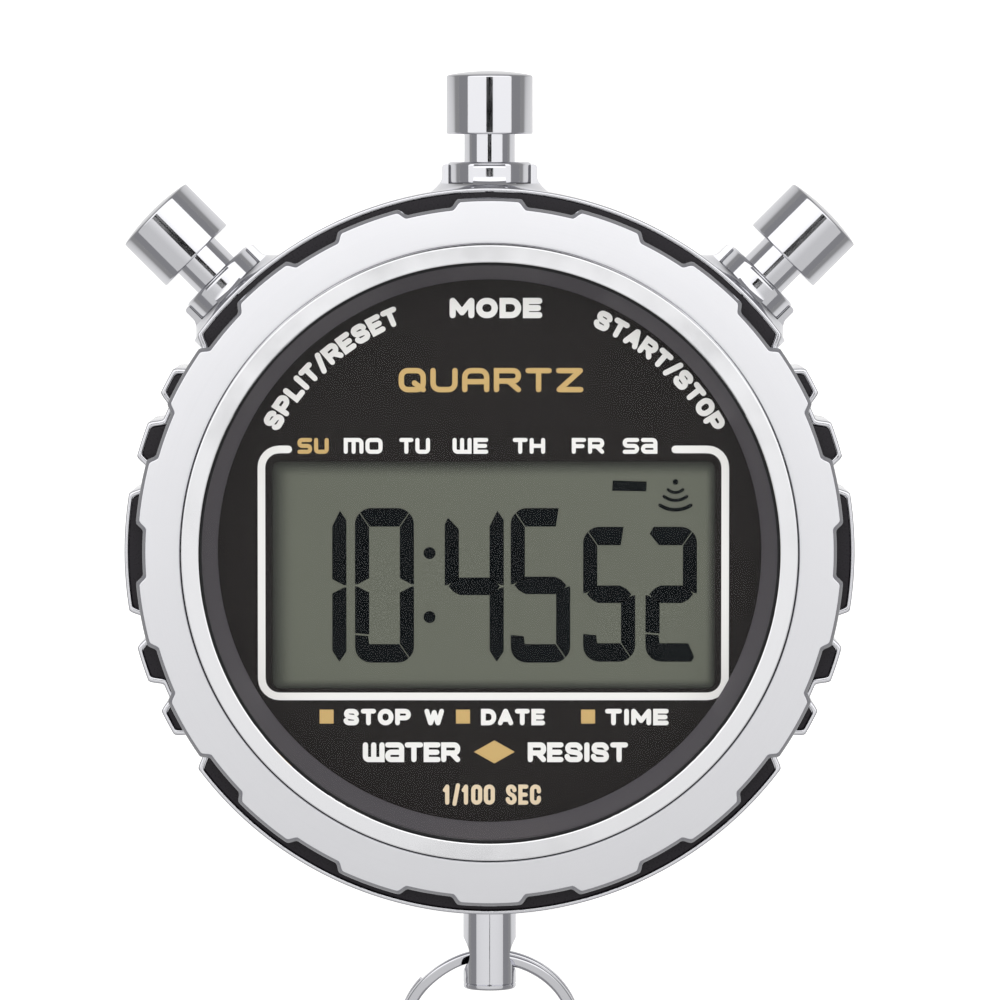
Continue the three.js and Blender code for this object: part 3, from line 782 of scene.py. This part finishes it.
def rounded(points, soft):
    """A path with its marked corners turned into arcs."""
    path = []
    for i, point in enumerate(points):
        here = Vector(point[:2])
        if len(point) < 3:
            path.append(here)
            continue
        back, ahead = Vector(points[i - 1][:2]) - here, Vector(points[i + 1][:2]) - here
        limits = []
        for leg, near in ((back, points[i - 1]), (ahead, points[i + 1])):
            limits.append(leg.length * (0.5 if len(near) > 2 else 0.98))
        size = min(soft, *limits)
        start, end = here + back.normalized() * size, here + ahead.normalized() * size
        for k in range(ARC_STEPS + 1):
            t = k / ARC_STEPS * math.pi / 2
            path.append(start + (here - start) * math.sin(t) + (end - here) * (1 - math.cos(t)))
    return [spot for i, spot in enumerate(path) if not i or (spot - path[i - 1]).length > 0.02]


def pen(path, half, rise=0.0):
    """One pen stroke: a ribbon with round ends, climbing a hair so that it never meets another's plane."""
    first, last = (path[0] - path[1]).normalized(), (path[-1] - path[-2]).normalized()
    stations = []
    for turn in (80, 55, 28):
        t = math.radians(turn)
        stations.append((path[0] + first * half * math.sin(t), -first, half * math.cos(t)))
    for i, here in enumerate(path):
        into = (here - path[i - 1]).normalized() if i else -first
        out = (path[i + 1] - here).normalized() if i + 1 < len(path) else last
        middle = (into + out).normalized()
        stations.append((here, middle, half / max(0.45, middle.dot(out))))
    for turn in (28, 55, 80):
        t = math.radians(turn)
        stations.append((path[-1] + last * half * math.sin(t), last, half * math.cos(t)))
    bpy.ops.mesh.primitive_grid_add(x_subdivisions=len(stations) - 1, y_subdivisions=1, size=MM)
    ribbon = bpy.context.object
    for row in (0, 1):
        for i, (at, along, wide) in enumerate(stations):
            side = Vector((along.y, -along.x)) * (wide if row == 0 else -wide)
            spot = at + side
            ribbon.data.vertices[row * len(stations) + i].co = Vector((spot.x, spot.y, rise + CLIMB * i)) * MM
    return ribbon


def written(words, x0, x1, y0, y1, weight, gap, soft):
    """Words fitted to a box in mm: one ribbon for each pen stroke."""
    half = weight / 2
    cap = y1 - y0 - weight
    total = sum(WIDTHS.get(c, 1.0) for c in words)
    wide = (x1 - x0 - weight - gap * (len(words) - 1)) / total
    ribbons, at = [], x0 + half
    for letter in words:
        width = WIDTHS.get(letter, 1.0) * wide
        for number, points in enumerate(STROKES.get(letter, [])):
            placed_points = [(at + p[0] * width, y0 + half + p[1] * cap, *p[2:]) for p in points]
            ribbons.append(pen(rounded(placed_points, soft * wide), half, STROKE_RISE * number))
        at += width + gap
    return ribbons


def thickened(name, plates, low, high):
    """Flat plates joined into one piece and raised from one height to another, in mm."""
    bpy.ops.object.select_all(action="DESELECT")
    for plate in plates:
        plate.select_set(True)
    bpy.context.view_layer.objects.active = plates[0]
    if len(plates) > 1:
        bpy.ops.object.join()
    piece = named(name)
    bpy.ops.object.mode_set(mode="EDIT")
    bpy.ops.mesh.select_all(action="SELECT")
    bpy.ops.transform.translate(value=(0, 0, low * MM))
    bpy.ops.mesh.extrude_region_move(TRANSFORM_OT_translate={"value": (0, 0, (high - low) * MM)})
    bpy.ops.mesh.select_all(action="SELECT")
    bpy.ops.mesh.normals_make_consistent(inside=False)
    bpy.ops.object.mode_set(mode="OBJECT")
    return piece


def inked(name, plates, ink):
    """Flat plates printed on the dial."""
    piece = thickened(name, plates, dial_top, dial_top + INK)
    piece.data.materials.append(ink)
    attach(piece, "case")
    return piece


def printed(name, words, x0, x1, y0, y1, ink, weight, gap, soft=0.5):
    """Words in a straight line."""
    inked(name, written(words, x0, x1, y0, y1, weight, gap, soft), ink)


def curved(name, words, start, end, foot, cap, right, ink, weight, gap, soft=0.5):
    """Words set between two clock angles, with their feet on a circle centred a little to the right."""
    middle_r = foot + cap / 2
    length = math.radians(end - start) * middle_r
    ribbons = written(words, 0, length, 0, cap, weight, gap, soft)
    for ribbon in ribbons:
        for vertex in ribbon.data.vertices:
            turn = math.radians(start) + vertex.co.x / MM / middle_r
            r = foot * MM + vertex.co.y
            vertex.co = Vector((right * MM + r * math.sin(turn), r * math.cos(turn), vertex.co.z))
    inked(name, ribbons, ink)


printed("word_mode", "MODE", -3.45, 4.55, 20.14, 21.89, WHITE_INK, 0.53, 0.68)
curved("word_split_reset", "SPLIT/RESET", -60.9, -21.6, 21.15, 1.66, 0.22, WHITE_INK, 0.48, 0.58)
curved("word_start_stop", "START/STOP", 23.2, 61.4, 21.15, 1.66, 0.5, WHITE_INK, 0.48, 0.58)
printed("word_quartz", "QUqRTZ", -7.85, 8.1, 13.74, 15.84, GOLD_INK, 0.46, 0.85, 0.3)
DAY_ROW = (8.42, 9.79)
DAYS = (("SU", "sU", -16.6, -13.9), ("MO", "mO", -12.6, -9.25), ("TU", "TU", -7.8, -5.15),
        ("WE", "wE", -3.2, -0.12), ("TH", "TH", 2.0, 4.8), ("FR", "FR", 7.1, 9.9), ("SA", "sa", 11.5, 14.5))
for day, letters, x0, x1 in DAYS:
    ink = GOLD_INK if day == "SU" else WHITE_INK
    printed(f"word_{day.lower()}", letters, x0, x1, *DAY_ROW, ink, 0.35, 0.52, 0.25)
MODE_ROW = (-15.11, -13.68)
printed("word_stop_w", "STOP W", -12.65, -3.95, *MODE_ROW, WHITE_INK, 0.41, 0.56)
printed("word_date", "DATE", -0.75, 4.8, *MODE_ROW, WHITE_INK, 0.41, 0.56)
printed("word_time", "TIME", 10.0, 15.5, *MODE_ROW, WHITE_INK, 0.41, 0.58)
WATER_ROW = (-18.31, -16.59)
printed("word_water", "waTER", -10.98, -2.55, *WATER_ROW, WHITE_INK, 0.45, 0.5, 0.25)
printed("word_resist", "RESIST", 3.3, 11.98, *WATER_ROW, WHITE_INK, 0.45, 0.54, 0.25)
printed("word_hundredths", "1/1OO SEC", -4.05, 4.45, -22.01, -20.26, CREAM_INK, 0.36, 0.5)


def plate_of(corners):
    """A flat plate with the given corners in mm."""
    bpy.ops.object.select_all(action="DESELECT")
    bpy.ops.mesh.primitive_circle_add(vertices=len(corners), radius=MM, fill_type="NGON")
    plate = bpy.context.object
    for vertex, (x, y) in zip(plate.data.vertices, corners):
        vertex.co = Vector((x, y, 0)) * MM
    return plate


SQUARE = 1.21
SQUARE_FOOT = -14.96
for number, x in enumerate((-14.72, -2.91, 7.92)):
    corners = [(x, SQUARE_FOOT), (x + SQUARE, SQUARE_FOOT),
               (x + SQUARE, SQUARE_FOOT + SQUARE), (x, SQUARE_FOOT + SQUARE)]
    inked(f"gold_square_{number + 1}", [plate_of(corners)], GOLD_INK)
inked("gold_diamond", [plate_of([(-1.36, -17.42), (0.41, -18.42), (2.18, -17.42), (0.41, -16.42)])], GOLD_INK)

FRAME_LINE = 0.66
FRAME_X0, FRAME_X1 = -20.05, 20.7
FRAME_Y0, FRAME_Y1 = -12.93, 9.13
FRAME_CORNER = 1.55
TOP_ENDS = (-17.4, 16.05)


def frame_line():
    """The line round the window: one stroke, open along the top where the days are."""
    s = FRAME_LINE / 2
    left, right, low, high = FRAME_X0 + s, FRAME_X1 - s, FRAME_Y0 + s, FRAME_Y1 - s
    points = [(TOP_ENDS[0], high), (left, high, 1), (left, low, 1), (right, low, 1), (right, high, 1),
              (TOP_ENDS[1], high)]
    return pen(rounded(points, FRAME_CORNER), s)


inked("window_frame", [frame_line()], WHITE_INK)

# ---------------------------------------------------------------- liquid crystal display
# Two glass plates with the segments between them. The glass looks grey-green, with painted shade along
# its edges where the window's rim would shadow it. The driven segments look blue-black.
lcd_low, lcd_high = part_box("lcd_panel")
lcd_top = lcd_high.z / MM
# How far the painted shade of the window's rim reaches in from each edge of the glass, in mm.
LCD_PAINTED_SHADE = {"left": 1.9, "right": 0.9, "low": 0.9, "high": 1.5}


def display_glass():
    """Polarised liquid crystal glass: grey-green and satin, with painted shade: its colour darkens within 1 to 2
    mm of each edge, standing in for the shadow of the dial window's rim.
    """
    material, tree, shader, place = new_material("grey_green_glass_painted_edge_shade", "#6f7266", 0.0, 0.3)
    shader.inputs["Specular IOR Level"].default_value = 0.12
    split = add_node(tree, "ShaderNodeSeparateXYZ", {"Vector": place})
    half_w, half_h = WINDOW["w"] / 2, WINDOW["h"] / 2
    edges = (
        ("X", WINDOW["x"] - half_w, 1, LCD_PAINTED_SHADE["left"]),
        ("X", WINDOW["x"] + half_w, -1, LCD_PAINTED_SHADE["right"]),
        ("Y", WINDOW["y"] - half_h, 1, LCD_PAINTED_SHADE["low"]),
        ("Y", WINDOW["y"] + half_h, -1, LCD_PAINTED_SHADE["high"]),
    )
    # Painted shade: a mask that is 1 in the middle of the glass and falls to 0 at the window's edges.
    light = None
    for axis, edge, inward, depth in edges:
        fade = add_node(tree, "ShaderNodeMapRange", {
            "Value": split.outputs[axis], "From Min": edge * MM, "From Max": (edge + inward * depth) * MM,
            "To Min": 0.0, "To Max": 1.0,
        }, interpolation_type="SMOOTHSTEP")
        if light is None:
            light = fade.outputs["Result"]
        else:
            both = add_node(tree, "ShaderNodeMath", {
                0: light, 1: fade.outputs["Result"],
            }, operation="MULTIPLY")
            light = both.outputs[0]
    # The painted shadow colour at the edges, mixed into the glass's own grey-green further in.
    painted_shade_mix = add_node(tree, "ShaderNodeMix", {
        "Factor": light, "A": linear("#393b36"), "B": linear("#62655a"),
    }, data_type="RGBA")
    tree.links.new(painted_shade_mix.outputs["Result"], shader.inputs["Base Color"])
    mottle(tree, shader, place, 0.2, 0.28, 0.36)
    return material


display = rounded_slab(
    "display_glass", lcd_high.x / MM * 2, (lcd_high.y - lcd_low.y) / MM, lcd_low.z / MM, lcd_top,
    0, (lcd_high.y + lcd_low.y) / 2 / MM, 0.3, 3,
)
display.data.materials.append(display_glass())
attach(display, "case")
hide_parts("lcd_panel")


def segment_black():
    """A driven segment: blue-black and slightly glossy under the polariser."""
    material, tree, shader, place = new_material("driven_segment", "#080c0e", 0.0, 0.3)
    shader.inputs["Specular IOR Level"].default_value = 0.04
    mottle(tree, shader, place, 0.4, 0.26, 0.36)
    return material


SEGMENT = segment_black()
UPRIGHT = 1.22
LEVEL = 1.6
SHOULDER = 1.35
SLIT = 0.055
CURL = 2.3
LAYER_LOW, LAYER_HIGH = 0.005, 0.025
LIT = {"0": "abcdef", "1": "bc", "2": "abged", "4": "fgbc", "5": "afgcd"}


def segment(kind, lit, w, h):
    """One segment's outline in a digit's own box: rounded outside corners, thin slits between."""
    v, t, r, g, m = UPRIGHT, LEVEL, SHOULDER, SLIT, h / 2
    if kind == "a":
        left = [(v + g, h - t), *arc(r + g, h - r, r, 135, 90)]
        right = [*arc(w - r - g, h - r, r, 90, 45), (w - v - g, h - t)]
        cut_left = [(1.15, h - t), (0.35, h - 0.6), (0.7, h)]
        cut_right = [(w - 1.0, h), (w - 1.25, h - t)]
        return (left if "f" in lit else cut_left) + (right if "b" in lit else cut_right)
    if kind == "b":
        joined = [(w - v, h - t - g), *arc(w - r, h - r - g, r, 45, 0)]
        free = [(w - v, h - 1.35), (w - v * 0.45, h), (w, h - 0.8)]
        return (joined if "a" in lit else free) + [(w, m + 0.08), (w - 0.25, m + 0.12), (w - v, m + 0.62)]
    if kind == "c":
        joined = [*arc(w - r, r + g, r, 0, -45), (w - v, t + g)]
        free = [(w, 0.9), (w - v * 0.5, 0), (w - v, 0.95)]
        return [(w - v, m - 0.62), (w - 0.25, m - 0.12), (w, m - 0.08)] + (joined if "d" in lit else free)
    if kind == "d":
        hook = [(v, t), (v * 0.92, CURL), (0, CURL + 0.1), *arc(r, r, r, 180, 270)]
        joined = [*arc(w - r - g, r, r, -90, -45), (w - v - g, t)]
        free = [(w - 0.5, 0), (w - 0.22, 0.4), (w - 0.75, t)]
        return hook + (joined if "c" in lit else free)
    if kind == "e":
        return [(0, CURL + 0.25), (v, CURL + 0.15), (v, m - 0.62), (0.25, m - 0.12), (0, m - 0.08)]
    if kind == "f":
        joined = [(v, h - t - g), *arc(r, h - r - g, r, 135, 180)]
        free = [(v, h - 1.6), (0.28, h - 0.6), (0, h - 1.2)]
        return [(0, m + 0.08), (0.25, m + 0.12), (v, m + 0.62)] + (joined if "a" in lit else free)
    s = t / 2 - 0.04
    return [(0.32, m), (0.75, m + s * 0.62), (1.3, m + s), (w - 1.3, m + s), (w - 0.75, m + s * 0.62),
            (w - 0.32, m), (w - 0.75, m - s * 0.62), (w - 1.3, m - s), (1.3, m - s), (0.75, m - s * 0.62)]


def lit_up(name, plates):
    """Flat plates as a driven part of the display, just above its glass."""
    piece = thickened(name, plates, lcd_top + LAYER_LOW, lcd_top + LAYER_HIGH)
    piece.data.materials.append(SEGMENT)
    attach(piece, "case")


DIGITS = (("1", -17.5, -9.64, 5.1, 13.1), ("0", -11.65, -9.71, 5.1, 13.4), ("4", -3.88, -9.64, 5.1, 13.1),
          ("5", 1.83, -9.71, 5.15, 13.4), ("5", 8.1, -9.63, 4.5, 11.7), ("2", 13.5, -9.63, 4.45, 11.7))
for number, (figure, x0, y0, w, h) in enumerate(DIGITS):
    outlines = [segment(kind, LIT[figure], w, h) for kind in LIT[figure]]
    lit_up(f"digit_{number + 1}", [plate_of([(x0 + x, y0 + y) for x, y in outline]) for outline in outlines])
for number, y in enumerate((-0.21, -5.76)):
    lit_up(f"colon_{number + 1}", [plate_of(arc(-5.2, y, 0.52, 0, 345, 23))])
lit_up("dash", [plate_of([(10.6, 5.19), (13.55, 5.14), (13.6, 5.99), (10.65, 6.09)])])
CHIME = (16.08, 5.96)
lit_up("chime_dot", [plate_of(arc(*CHIME, 0.25, 0, 345, 23))])
for number, (r, half, line) in enumerate(((0.92, 44, 0.26), (1.6, 38, 0.28), (2.42, 33, 0.32))):
    bow = [Vector(p) for p in arc(*CHIME, r, -90 - half, -90 + half, 10)]
    lit_up(f"chime_wave_{number + 1}", [pen(bow, line / 2)])

# ---------------------------------------------------------------- lanyard stem
# A turned and chromed steel pin, screwed through the case from outside and held by a nut inside. It
# is cross-drilled for the split ring, and its end is rounded.
stem_low, stem_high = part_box("lanyard_stem")
stem_out = -stem_low.y / MM
stem_in = -stem_high.y / MM
STEM_R = 2.3
HOLE_R = 1.5
HOLE_AT = 35.5
THREAD_R = 1.3
THREAD_END = 29.7
stem = turned(
    "lanyard_pin",
    [
        (0, stem_in), (THREAD_R, stem_in), (THREAD_R, THREAD_END), (STEM_R, THREAD_END),
        (STEM_R, stem_out - 0.55),
        (STEM_R - 0.07, stem_out - 0.48), (STEM_R, stem_out - 0.41),
        *arc(STEM_R - 0.25, stem_out - 0.25, 0.25, 0, 90, 6),
        (0, stem_out),
    ],
    128,
)
bpy.ops.object.select_all(action="DESELECT")
bpy.ops.mesh.primitive_cylinder_add(vertices=64, radius=HOLE_R * MM, depth=8 * MM)
across = Matrix.Translation((0, 0, HOLE_AT * MM)) @ Matrix.Rotation(math.pi / 2, 4, "Y")
cut_away(stem, placed(named("drill"), across))
placed(stem, station(180))
stem.data.materials.append(CHROME)
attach(stem, "case")
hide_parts("lanyard_stem")

# ---------------------------------------------------------------- split ring
# Hardened steel wire of flat section, coiled twice and plated. The coil's ends lie flat against it,
# and a short crossover takes the wire from one turn to the other.
RING_R = 7.5
WIRE_RADIAL = 1.0
WIRE_AXIAL = 0.6
PITCH = 0.64
DROP = 0.25
RING_START = 140
CROSSOVER = 50
RING_STEPS = 220
swing = next(j for j in frame["joints"] if j["name"] == "ring_swing")
pivot = Vector(swing["pos_m"])
far = DROP + 2 * RING_R + WIRE_RADIAL / 2
half_axial = (PITCH + WIRE_AXIAL) / 2
tilt = math.asin(pivot.z / MM / math.hypot(far, half_axial)) - math.atan2(half_axial, far)


def wire_section():
    """The wire's rounded section as (across, outwards) points."""
    points = []
    r = 0.24
    for cx, cy, start in ((1, 1, 0), (-1, 1, 90), (-1, -1, 180), (1, -1, 270)):
        for i in range(5):
            turn = math.radians(start + 90 * i / 4)
            across = cx * (WIRE_AXIAL / 2 - r) + r * math.cos(turn)
            outwards = cy * (WIRE_RADIAL / 2 - r) + r * math.sin(turn)
            points.append((across, outwards))
    return points


section = wire_section()
bpy.ops.object.select_all(action="DESELECT")
bpy.ops.mesh.primitive_circle_add(vertices=len(section), radius=MM, fill_type="NGON")
ring = named("key_ring")
bpy.ops.object.mode_set(mode="EDIT")
bpy.ops.mesh.select_all(action="SELECT")
sweep = 720 - CROSSOVER - 3
for step in range(RING_STEPS + 1):
    if step:
        bpy.ops.mesh.extrude_region_move()
    along = sweep * step / RING_STEPS
    turn = math.radians(RING_START + along)
    side = PITCH * (smooth((along - 360 + CROSSOVER) / CROSSOVER) - 0.5)
    mesh = bmesh.from_edit_mesh(ring.data)
    loop = sorted((v for v in mesh.verts if v.select), key=lambda v: v.index)
    for vertex, (across, outwards) in zip(loop, section):
        r = RING_R + outwards
        vertex.co = Vector((r * math.cos(turn), r * math.sin(turn) - RING_R - DROP, side + across)) * MM
    mesh.verts.index_update()
    bmesh.update_edit_mesh(ring.data)
finish_mesh(ring, 45)
placed(ring, Matrix.Translation(pivot) @ Matrix.Rotation(tilt, 4, "X"))
ring.data.materials.append(CHROME)
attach(ring, "split_ring")
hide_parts("split_ring")

# ---------------------------------------------------------------- case back and its screws
# A turned steel plate, brushed and let into the back of the case. Four small slotted screws of
# bright steel hold it, each sunk in a counterbore.
screw_nodes = [f"case_back_screw_{i}" for i in (1, 2, 3, 4)]
SCREW_HEAD_R = 1.2
back_r = back_high.x / MM
back_plate = turned(
    "back_plate",
    [
        (0, 0), (24.2, 0), *arc(24.5, 0.0, 0.3, 180, 0, 8)[1:-1], (24.8, 0), (back_r - 0.15, 0),
        (back_r - 0.04, 0.04), (back_r, 0.15), (back_r, back_seat - 0.02), (0, back_seat - 0.02),
    ],
    256,
)
screw_spots = []
for node in screw_nodes:
    low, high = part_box(node)
    screw_spots.append(((low.x + high.x) / 2, (low.y + high.y) / 2, low.z))
for x, y, _ in screw_spots:
    bpy.ops.object.select_all(action="DESELECT")
    bpy.ops.mesh.primitive_cylinder_add(vertices=48, radius=(SCREW_HEAD_R + 0.1) * MM, depth=1.4 * MM)
    cut_away(back_plate, placed(named("counterbore"), Matrix.Translation((x, y, 0))))
back_plate.data.materials.append(BRUSHED)
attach(back_plate, "case")
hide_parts("case_back")


def bright_steel():
    """Bright drawn steel: metallic grey with a fine uneven polish."""
    material, tree, shader, place = new_material("bright_drawn_steel", "#b9bbbf", 1.0, 0.25)
    mottle(tree, shader, place, 0.8, 0.18, 0.34)
    return material


STEEL = bright_steel()
for node, (x, y, z) in zip(screw_nodes, screw_spots):
    head = turned(
        f"{node}_turned",
        [
            (0, 0), (SCREW_HEAD_R - 0.25, 0), *arc(SCREW_HEAD_R - 0.15, 0.15, 0.15, -90, 0, 4),
            (SCREW_HEAD_R, 0.6), (0.7, 0.6), (0.7, 3.1), (0.6, 3.2), (0, 3.2),
        ],
        48,
    )
    cut_away(head, block("slot", (4, 0.35, 0.6), (0, 0, 0)))
    placed(head, Matrix.Translation((x, y, z)) @ Matrix.Rotation(math.atan2(y, x) + 0.9, 4, "Z"))
    head.data.materials.append(STEEL)
    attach(head, "case")
    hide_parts(node)

# ---------------------------------------------------------------- parts inside
# The module and the small parts keep their plain shapes, each in its own stock: moulded plastic,
# green board, resin, brass, rubber and steel.


def inside_stock(name, colour, metallic, roughness, size):
    """The stock of a hidden part, with roughness that wanders over patches of the size in mm."""
    material, tree, shader, place = new_material(name, colour, metallic, roughness)
    mottle(tree, shader, place, size, roughness * 0.8, min(1.0, roughness * 1.2))
    return material


BRASS = inside_stock("rolled_brass", "#caa659", 1.0, 0.3, 0.7)
STOCKS = {
    "module_plastic": inside_stock("dark_moulded_polycarbonate", "#2d2d30", 0.0, 0.55, 0.3),
    "reflector": inside_stock("pale_reflector_film", "#b9bbb0", 0.0, 0.5, 0.5),
    "circuit_board": inside_stock("green_glass_epoxy", "#1c5335", 0.0, 0.4, 0.4),
    "chip_resin": inside_stock("black_epoxy_resin", "#141415", 0.0, 0.3, 0.6),
    "brass": BRASS,
    "rubber": RUBBER,
    "steel": STEEL,
}
slots = {part["node"]: part["material_slot"] for part in frame["record"]["subparts"]}
for name, part in nodes.items():
    stock = STOCKS.get(slots[name])
    if stock:
        part.data.materials.clear()
        part.data.materials.append(stock)

# ---------------------------------------------------------------- studio
# A pale floor under the watch and a wide soft box overhead, brighter on the mode pusher's side. A
# board on the floor, white near the watch and grey farther out, and black cards under the soft box
# are there for the mirror-bright parts to show.
RISE_HALF = 0.4


def glowing(name, colour, emission, far=None, base="#000000"):
    """A dull board that glows; with far, its glow rises to that value across the board."""
    material, tree, shader, place = new_material(name, base, 0.0, 0.8)
    shader.inputs["Specular IOR Level"].default_value = 0.0
    shader.inputs["Emission Color"].default_value = linear(colour)
    shader.inputs["Emission Strength"].default_value = emission
    if far is not None:
        split = add_node(tree, "ShaderNodeSeparateXYZ", {"Vector": place})
        ramp = add_node(tree, "ShaderNodeMapRange", {
            "Value": split.outputs["Y"], "From Min": -RISE_HALF, "From Max": RISE_HALF,
            "To Min": emission, "To Max": far,
        }, interpolation_type="SMOOTHSTEP")
        tree.links.new(ramp.outputs["Result"], shader.inputs["Emission Strength"])
    return material


WHITE_TO, GREY_FROM = 0.038, 0.058
WHITE_GLOW, GREY_GLOW = 0.95, 0.36


def fading_board():
    """White near the watch, and grey from a few centimetres outside it."""
    material = glowing("fading_grey_board", "#ffffff", WHITE_GLOW)
    tree = material.node_tree
    place = add_node(tree, "ShaderNodeTexCoord").outputs["Object"]
    reach = add_node(tree, "ShaderNodeVectorMath", {0: place}, operation="LENGTH")
    fade = add_node(tree, "ShaderNodeMapRange", {
        "Value": reach.outputs["Value"], "From Min": WHITE_TO, "From Max": GREY_FROM,
        "To Min": WHITE_GLOW, "To Max": GREY_GLOW,
    }, interpolation_type="SMOOTHSTEP")
    tree.links.new(fade.outputs["Result"], tree.nodes["Principled BSDF"].inputs["Emission Strength"])
    return material


def board(name, size, place, material, only_mirrored=True):
    """A flat square board, by default one that only reflections show."""
    bpy.ops.object.select_all(action="DESELECT")
    bpy.ops.mesh.primitive_plane_add(size=size, location=place)
    sheet = named(name)
    sheet.data.materials.append(material)
    if only_mirrored:
        sheet.visible_camera = False
        sheet.visible_diffuse = False
        sheet.visible_shadow = False
        sheet.visible_transmission = False
    return sheet


BOX_SIZE = 2.8
BOX_HEIGHT = 0.8
FLAG_HEIGHT = 0.66
floor_z = cad_bounds[0][2]
board("floor", 6, (0, 0, floor_z - 0.0004), glowing("floor_paper", "#f6f6f4", 0.6, None, "#f6f6f4"), False)
board("floor_board", 5, (0, 0, floor_z - 0.0002), fading_board())
FLAGS = (("mode", 0, 0.039, 0, 0.2, 0.03), ("reset", -0.0545, 0.0153, 45, 0.2, 0.026),
         ("start", 0.0545, 0.0153, -45, 0.2, 0.026), ("lanyard", 0, -0.116, 0, 0.03, 0.03))
black_card = glowing("black_card", "#060606", 0.0)
for name, x, y, turn, wide, deep in FLAGS:
    flag = board(f"flag_{name}", 1, (x, y, FLAG_HEIGHT), black_card)
    flag.scale = (wide, deep, 1)
    flag.rotation_euler = (0, 0, math.radians(turn))
cloth = glowing("soft_box_cloth", "#ffffff", 0.8, 1.68)
soft_box = board("soft_box", BOX_SIZE, (0, 0, BOX_HEIGHT), cloth, False)
soft_box.visible_camera = False

world = bpy.data.worlds.new("studio")
bpy.context.scene.world = world
world.use_nodes = True
background = world.node_tree.nodes["Background"]
background.inputs["Color"].default_value = linear("#f2f2f6")
background.inputs["Strength"].default_value = 0.36

# The camera stands a long way off, tipped a little towards the mode pusher.
DISTANCE = 0.6
LEAN = math.radians(3)
FRAME_WIDTH = 0.08595
SENSOR = 36
aim = Vector((0.0009, 0.0046, bezel_high.z))
bpy.ops.object.camera_add()
camera = bpy.context.object
camera.location = aim + Vector((0, math.sin(LEAN), math.cos(LEAN))) * DISTANCE
camera.rotation_euler = (-LEAN, 0, 0)
camera.data.sensor_width = SENSOR
camera.data.lens = SENSOR * DISTANCE / FRAME_WIDTH
camera.data.clip_end = 10
bpy.context.scene.camera = camera
bpy.context.scene.view_settings.view_transform = "Standard"
